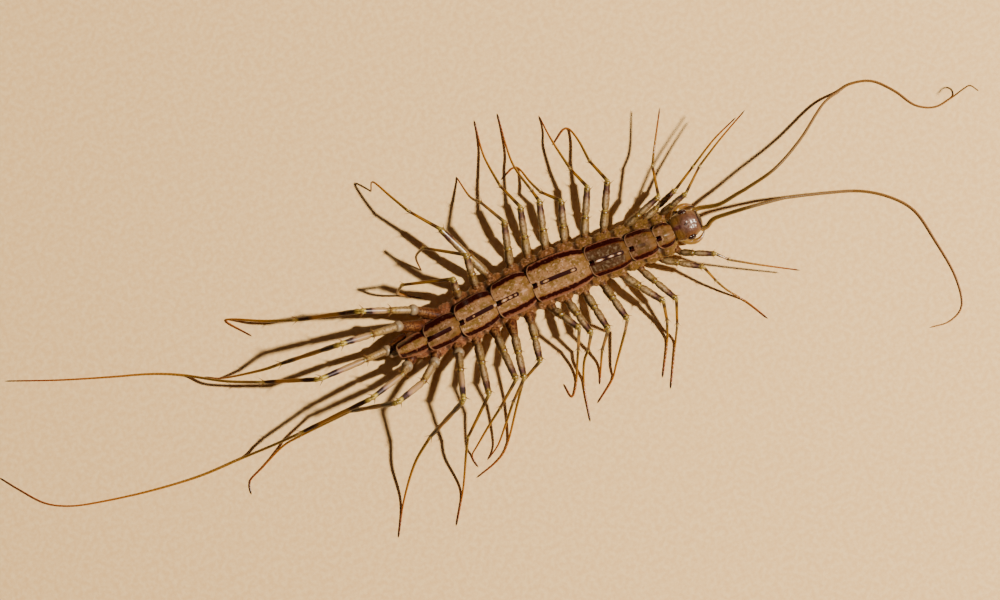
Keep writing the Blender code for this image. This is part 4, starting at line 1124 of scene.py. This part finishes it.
def leg_points(side, pair):
    """The joints of a leg: root, hip, bend, knee and ankle, and the foot's way to its tip."""
    posed = [from_sheet(*point) for point in LEG_POSES[side][pair - 1]]
    knee, ankle = posed[0], posed[1]
    sign = 1 if side == "left" else -1
    if pair == LEG_PAIRS:
        root = Vector((LAST_ROOT_X, body_line(LAST_ROOT_X) + sign * LAST_PAIR_ROOT, COXA_HEIGHT))
        hip = Vector((*LAST_HIPS[side], HIP_HEIGHT))
    else:
        x = leg_station(pair)
        root = Vector((x, body_line(x) + sign * (trunk_half_width(x) + GAP), COXA_HEIGHT))
        aim = Vector((knee.x - root.x, knee.y - root.y, 0)).normalized()
        hip = root + (Vector((0, sign, 0)) + aim * COXA_AIM).normalized() * COXA_LENGTH
        hip.z = HIP_HEIGHT
    if (side, pair) in LEG_BENDS:
        bend = from_sheet(*LEG_BENDS[side, pair])
    else:
        bend = hip.lerp(knee, BEND_SHARE)
        bend.z = hip.z + (knee.z - hip.z) * BEND_RISE
    hip = hip.lerp(bend, HIP_ON.get((side, pair), HIP_SHARE))
    bend = bend.lerp(knee, BEND_ON.get((side, pair), 0.0))
    foot = smooth_points(posed[1:], FOOT_STEP)
    for n, point in enumerate(foot):
        point.z = max(point.z, FOOT_R + (TOE_R - FOOT_R) * n / len(foot))
    return (root, hip, bend, knee, ankle), foot


joints = {(side, pair): leg_points(side, pair) for side in LEG_POSES for pair in range(1, LEG_PAIRS + 1)}
print("longest foot:", round(max(run_length(foot) for _, foot in joints.values()), 1), "mm")

# %% [markdown]
# A part keeps its true ends when it is fitted to a leg, and only its shaft grows or shrinks. Three thorns
# stand on the upper side of each joint, leaning on, but for those that the leg turns towards.

# %% Build the legs
END_KEPT, KEPT_AT_MOST = 0.45, 0.3
BEND_BALL, ANKLE_BALL = 1.25, 0.8
REAR_THORN, REAR_FOOT = 1.3, 1.15
FOOT_TAPER = 1.2
THORN_ANGLES = (30, 90, 150)
THORN_SET_BACK, THORN_SUNK = 0.28, 0.8
THORN_OUT, THORN_LEAN = 0.65, 0.75
THORN_CLEAR = 0.3
BEND_R, KNEE_R, ANKLE_R, ANKLE_THORN = 0.38, 0.33, 0.18, 0.8


def axes_between(start, end):
    """The length from one joint to the next, and the turn that points +X along it with Z up."""
    way = end - start
    along = way.normalized()
    over = (UP - along * along.dot(UP)).normalized()
    side = over.cross(along)
    return way.length, Matrix((along, side, over)).transposed()


def posed_copy(part, points, share, lie):
    """A copy of a part with its points in body mm and its own coordinates stored."""
    copy = add_object(part.name, part.data.copy())
    place_points(copy.data, points)
    write_attribute(copy.data, "share", share)
    write_attribute(copy.data, "lie", lie)
    return copy


def fit_part(part, start, end, girth):
    """A copy of a part between two joints: its ends keep their shape and its shaft stretches."""
    length, turn = axes_between(start, end)
    native = part["length"]
    points = points_of(part.data)
    kept = min(END_KEPT, length * KEPT_AT_MOST, native * KEPT_AT_MOST)
    marks = (-1.0, 0.0, kept, native - kept, native, native + 1.0)
    goals = (-1.0, 0.0, kept, length - kept, length, length + 1.0)
    x = np.interp(points[:, 0], marks, goals)
    lie = np.stack([x, points[:, 1] / np.abs(points[:, 1]).max(), points[:, 2]], axis=1)
    straight = np.stack([x, points[:, 1] * girth, points[:, 2] * girth], axis=1)
    return posed_copy(part, straight @ np.array(turn).T + np.array(start), np.clip(x / length, 0, 1), lie)


def set_ball(part, centre, along, girth):
    """A copy of a part centred on a joint."""
    _, turn = axes_between(centre, centre + along)
    points = points_of(part.data)
    share = (points[:, 0] - points[:, 0].min()) / np.ptp(points[:, 0])
    lie = np.stack([points[:, 0], points[:, 1] / np.abs(points[:, 1]).max(), points[:, 2]], axis=1)
    return posed_copy(part, points * girth @ np.array(turn).T + np.array(centre), share, lie)


def set_thorns(before, at, after, radius, scale):
    """Thorns round the upper side of a joint."""
    made = []
    along, way_on = (at - before).normalized(), (after - at).normalized()
    side = along.cross(UP).normalized()
    over = side.cross(along)
    for angle in map(math.radians, THORN_ANGLES):
        normal = side * math.cos(angle) + over * math.sin(angle)
        if normal.dot(way_on) < THORN_CLEAR:
            root = at - along * THORN_SET_BACK + normal * radius * THORN_SUNK
            made.append(set_ball(thorn, root, normal * THORN_OUT + along * THORN_LEAN, scale))
    return made


def build_leg(side, pair):
    """Fit every part of one leg and join them."""
    (root, hip, bend, knee, ankle), foot = joints[side, pair]
    scale = LEG_SCALE.get(pair, 1.0)
    rear = pair >= REAR_PAIR
    thigh = scale if rear else scale * THIGH_GIRTH
    thorn_size = REAR_THORN if rear else scale
    start_r = FOOT_R * scale * (REAR_FOOT if rear else 1.0)
    leg = [
        fit_part(coxa, root, hip, scale),
        set_ball(knob if rear else hip_ball, hip, bend - hip, REAR_KNOB if rear else HIP_BALL * scale),
        fit_part(prefemur, hip, bend, thigh),
        fit_part(rear_femur if rear else femur, bend, knee, thigh),
        fit_part(rear_tibia if rear else tibia, knee, ankle, scale),
        set_ball(joint, bend, knee - bend, thigh * BEND_BALL),
        set_ball(joint, knee, ankle - knee, thigh),
        set_ball(joint, ankle, foot[1] - ankle, scale * ANKLE_BALL),
        *set_thorns(hip, bend, knee, BEND_R * thigh, thorn_size),
        *set_thorns(bend, knee, ankle, KNEE_R * thigh, thorn_size),
        *set_thorns(knee, ankle, foot[2], ANKLE_R * scale, thorn_size * ANKLE_THORN),
        whip("foot", foot_ring, foot, lambda share: start_r + (TOE_R - start_r) * share ** FOOT_TAPER),
    ]
    return hand_over(f"{side}_leg_{pair:02d}", leg, 50, "leg", f"leg_{side}_{pair:02d}")


legs = [build_leg(side, pair) for side, pair in joints]
print("legs:", len(legs), "with", sum(len(leg.data.polygons) for leg in legs), "faces")

# %% [markdown]
# ## Feelers
# A feeler is a short stout stalk and a lash of some hundred and fifty rings. Here it is one whip from the
# boss on the head to its tip, over the same way as the two solids.

# %% Build the feelers
HEAD_LINE = -0.35
ANTENNA_ROOT = (17.62, 1.0, 2.75)
ANTENNA_BOSS = (16.5, 0.98, 2.62)
FEELER_R, LASH_R, LASH_TIP_R = 0.26, 0.17, 0.06
STALK_SHARE = 0.2
STALK_TAPER, LASH_TAPER = 0.6, 1.1
FEELER_SUNK = 0.6
FEELER_STEP = 0.4
ANTENNAE = {
    "left": (
        (71.3, 20.6, 3.2), (72.2, 20.3, 3.6), (73.5, 19.5, 4.0), (75.0, 18.6, 4.4), (77.5, 16.8, 4.8),
        (80.0, 13.9, 3.2), (82.2, 10.5, 1.4), (83.8, 9.2, 0.3), (85.0, 8.4, 0), (87.2, 8.1, 0),
        (89.5, 9.1, 0), (91.5, 10.5, 0), (93.5, 10.7, 0), (95.1, 9.8, 0), (96.3, 8.9, 1.5),
        (96.9, 8.6, 3.2), (97.6, 9.1, 5.0),
    ),
    "right": (
        (71.3, 21.9, 3.3), (73.0, 21.3, 3.8), (75.0, 20.7, 4.4), (78.0, 19.9, 3.3), (79.2, 19.7, 2.5),
        (82.5, 19.3, 1.0), (86.0, 19.1, 0), (89.0, 19.7, 0), (91.5, 21.1, 0), (93.5, 24.0, 0),
        (95.5, 27.5, 0), (96.2, 30.5, 0), (95.0, 32.1, 0), (93.2, 32.7, 0),
    ),
}


def feeler_radius(share):
    """Girth of a feeler: a stout stalk that eases into the lash."""
    if share < STALK_SHARE:
        return FEELER_R + (LASH_R - FEELER_R) * (share / STALK_SHARE) ** STALK_TAPER
    past_stalk = (share - STALK_SHARE) / (1 - STALK_SHARE)
    return LASH_R + (LASH_TIP_R - LASH_R) * past_stalk ** LASH_TAPER


def build_feeler(side):
    """One feeler along its way."""
    sign = 1 if side == "left" else -1
    root, inner = (Vector((x, HEAD_LINE + sign * y, z)) for x, y, z in (ANTENNA_ROOT, ANTENNA_BOSS))
    start = root.lerp(inner, FEELER_SUNK)
    points = smooth_points([start, root, *[from_sheet(*point) for point in ANTENNAE[side]]], FEELER_STEP)
    total = run_length(points)
    run = 0.0
    for before, point in zip(points, points[1:]):
        run += (point - before).length
        point.z = max(point.z, feeler_radius(min(run / total, 1.0)))
    lash = whip("feeler", feeler_ring, points, feeler_radius)
    return hand_over(f"{side}_feeler", [lash], 50, "antenna", f"antenna_{side}_stalk", f"antenna_{side}_lash")


feelers = [build_feeler(side) for side in ANTENNAE]
print("feelers:", [len(feeler.data.polygons) for feeler in feelers], "faces")

# %% [markdown]
# ## Head
# The capsule is a domed shell, broad across the eyes, that slopes to a blunt brow between the feelers. A
# sphere is the start. Its points move to the head's own rings, a shallow furrow runs down the brow, and the
# sockets of the feelers are inset and drawn out of it.

# %% Model the head
HEAD_RINGS = ((14.2, 0.95, 3.45, 2.30), (14.45, 1.22, 3.68, 2.10), (15.0, 1.40, 3.86, 1.92),
              (15.7, 1.46, 3.95, 1.86), (16.3, 1.38, 3.90, 1.84), (16.8, 1.18, 3.68, 1.86),
              (17.15, 0.88, 3.38, 1.95), (17.35, 0.52, 3.05, 2.20))
HEAD_BACK, HEAD_FRONT = 14.05, 17.45
HEAD_SQUARENESS = 2 / 2.3
HEAD_END_LEAST = 0.02
HEAD_FURROW = 0.05
# Middle and reach of the furrow, of the two rises beside it and of the seam behind the eyes
FURROW_ACROSS, FURROW_ALONG = (0, 0.10), (16.3, 0.7)
RISES_ACROSS, RISES_ALONG = (0.42, 0.25), (16.0, 0.6)
SEAM_ALONG = (15.0, 0.10)
SOCKET_REACH, SOCKET_BEHIND, SOCKET_INWARD = 0.30, 0.5, 0.05
SOCKET_STEPS = ((0.04, 0.05), (0.05, -0.06))


def head_ring(x):
    """Half width, top and bottom of the head at a station."""
    stations, *measures = zip(*HEAD_RINGS)
    return [float(np.interp(x, stations, row)) for row in measures]


def head_point(x, y, z):
    """Move a point of the unit sphere onto the head."""
    along = HEAD_BACK + (HEAD_FRONT - HEAD_BACK) * (0.5 + math.asin(max(-1.0, min(1.0, x))) / math.pi)
    half, top, bottom = head_ring(along)
    from_ends = min((along - HEAD_BACK) / (HEAD_RINGS[0][0] - HEAD_BACK),
                    (HEAD_FRONT - along) / (HEAD_FRONT - HEAD_RINGS[-1][0]), 1.0)
    shrink = max(HEAD_END_LEAST, from_ends) ** 0.5
    across, upward = [part * shrink for part in squared(math.atan2(z, y), HEAD_SQUARENESS)]
    upper = HEAD_FURROW * max(0.0, upward)
    z = (top + bottom) / 2 + upward * (top - bottom) / 2
    z -= upper * hump(across, *FURROW_ACROSS) * hump(along, *FURROW_ALONG)
    z += upper * hump(abs(across), *RISES_ACROSS) * hump(along, *RISES_ALONG)
    z -= upper * hump(along, *SEAM_ALONG)
    return along, HEAD_LINE + across * half, z


put_down()
bpy.ops.mesh.primitive_uv_sphere_add(segments=56, ring_count=40, radius=1 * MM, rotation=(0, math.pi / 2, 0))
head = bpy.context.object
bpy.ops.object.transform_apply(location=True, rotation=True, scale=True)
place_points(head.data, [head_point(*point) for point in points_of(head.data)])
edit(head)
x, y, z = ANTENNA_ROOT
for sign in (1, -1):
    spot = world((x - SOCKET_BEHIND, HEAD_LINE + sign * (y - SOCKET_INWARD), z))
    pick(head, "FACE", lambda face: (face.calc_center_median() - spot).length < SOCKET_REACH * MM)
    for rim, rise in SOCKET_STEPS:
        bpy.ops.mesh.inset(thickness=rim * MM, depth=rise * MM)
bpy.ops.object.mode_set(mode="OBJECT")
finish_with(head, "SUBSURF", levels=1, render_levels=1)
head.data.materials.append(head_chitin)
head = hand_over("head_capsule", [head], 60, "head", "head")
print("head:", len(head.data.polygons), "faces")

# %% [markdown]
# ## Eyes
# Each eye is a low dome of some two hundred lenses. Cutting the corners off an icosphere turns nearly every
# point into a six-sided facet, and each facet is inset and raised into its own small lens.

# %% Model the eyes
EYE_CENTRE = (15.85, 1.2, 3.12)
EYE_RADII = (0.5, 0.42, 0.46)
EYE_STANDS_OUT = 1.04
CORNERS_CUT = 32
LENS_RIM = 0.012
LENS_RISES = (0.012, 0.008)


def build_eye(side):
    """One faceted eye in its seat."""
    sign = 1 if side == "left" else -1
    put_down()
    bpy.ops.mesh.primitive_ico_sphere_add(subdivisions=4, radius=1 * MM)
    eye = bpy.context.object
    edit(eye)
    bpy.ops.mesh.select_all(action="SELECT")
    bpy.ops.mesh.bevel(affect="VERTICES", offset_type="PERCENT", offset_pct=CORNERS_CUT, segments=1)
    pick(eye, "FACE", lambda face: len(face.verts) >= 5)
    for rise in LENS_RISES:
        bpy.ops.mesh.inset(thickness=LENS_RIM * MM, depth=rise * MM, use_individual=True)
    bpy.ops.object.mode_set(mode="OBJECT")
    x, y, z = EYE_CENTRE
    points = points_of(eye.data) * np.array(EYE_RADII) * EYE_STANDS_OUT
    place_points(eye.data, points + np.array((x, HEAD_LINE + sign * y, z)))
    eye.data.materials.append(eye_lens)
    return hand_over(f"{side}_eye", [eye], 30, "eye", f"eye_{side}")


eyes = [build_eye(side) for side in ("left", "right")]
print("eyes:", [len(eye.data.polygons) for eye in eyes], "faces")

# %% [markdown]
# ## Mouthparts and tail
# The forcipules are the first legs turned into fangs: stout, jointed and curved under the head, each ending
# in a dark claw. The palps are short feelers below the mouth. Both are turned straight and bent onto their
# way. The tail is a small blunt cone behind the last plate.

# %% Model the mouthparts and the tail
FORCIPULE = ((14.2, 0.48, 1.46), (14.6, 0.60, 1.44), (15.1, 1.42, 1.36), (15.9, 1.88, 1.34),
             (16.75, 1.72, 1.30), (17.4, 1.05, 1.25))
PALP = ((15.75, 0.42, 1.46), (15.95, 0.50, 1.02), (16.5, 0.48, 0.80), (17.2, 0.32, 0.82))
FANG = ((0.0, 0.26), (0.25, 0.36), (0.9, 0.38), (1.15, 0.31), (1.22, 0.34), (2.0, 0.35), (2.3, 0.27),
        (2.36, 0.29), (2.9, 0.26), (3.1, 0.21), (3.16, 0.22), (3.6, 0.16), (4.1, 0.08), (4.45, 0.015))
PALP_SHAPE = ((0.0, 0.20), (0.15, 0.27), (0.6, 0.27), (0.72, 0.22), (0.78, 0.24), (1.3, 0.22), (1.4, 0.18),
              (1.45, 0.20), (1.9, 0.16), (2.1, 0.05))
MOUTHPART_STEP, MOUTHPART_SIDES = 0.2, 16


def build_mouthpart(name, node, side, route, shape):
    """A turned mouthpart bent along its way."""
    sign = 1 if side == "left" else -1
    way = smooth_points([Vector((x, HEAD_LINE + sign * y, z)) for x, y, z in route], MOUTHPART_STEP)
    part = turned(name, shape, MOUTHPART_SIDES)
    finish_with(part, "SUBSURF", levels=1, render_levels=1)
    points = points_of(part.data)
    write_attribute(part.data, "share", np.clip(points[:, 0] / shape[-1][0], 0, 1))
    points[:, 0] *= run_length(way) / shape[-1][0]
    set_points(part.data, points)
    lay_along(part, way)
    part.data.materials.append(claw_chitin)
    return hand_over(f"{side}_{name}", [part], 50, "mouthpart", f"{node}_{side}")


for side in ("left", "right"):
    build_mouthpart("fang", "forcipule", side, FORCIPULE, FANG)
    build_mouthpart("palp", "palp", side, PALP, PALP_SHAPE)

TAIL = ((-16.62, 0.10), (-16.54, 0.22), (-16.3, 0.30), (-15.95, 0.28), (-15.6, 0.33), (-15.0, 0.40),
        (-14.5, 0.42))
TAIL_MIDDLE = (0.0, -0.5, 2.5)
TAIL_STRETCH = (1.0, 0.9, 1.05)
TAIL_SIDES = 24
# The tail's share of the knob's colours: at its tip, how much is added, from where and over what length
TAIL_TINT, TAIL_TINT_GAIN, TAIL_TINT_FROM, TAIL_TINT_OVER = 0.35, 0.4, -16.75, 0.7
tail = turned("tail_piece", TAIL, TAIL_SIDES)
finish_with(tail, "SUBSURF", levels=1, render_levels=1)
points = points_of(tail.data) * np.array(TAIL_STRETCH) + np.array(TAIL_MIDDLE)
place_points(tail.data, points)
along = np.clip((points[:, 0] - TAIL_TINT_FROM) / TAIL_TINT_OVER, 0, 1)
write_attribute(tail.data, "share", TAIL_TINT + TAIL_TINT_GAIN * along)
write_attribute(tail.data, "lie", (points - points.mean(axis=0)) * 2)
tail.data.materials.append(knob_chitin)
hand_over("tail_piece", [tail], 50, "trunk", "tail")
print("mouthparts and tail ready")

# %% [markdown]
# ## Clear the bench
# The parts that were modelled once have served as patterns and go.

# %% Finish
for pattern in (*leg_parts, thorn, foot_ring, feeler_ring):
    bpy.data.objects.remove(pattern, do_unlink=True)
put_down()
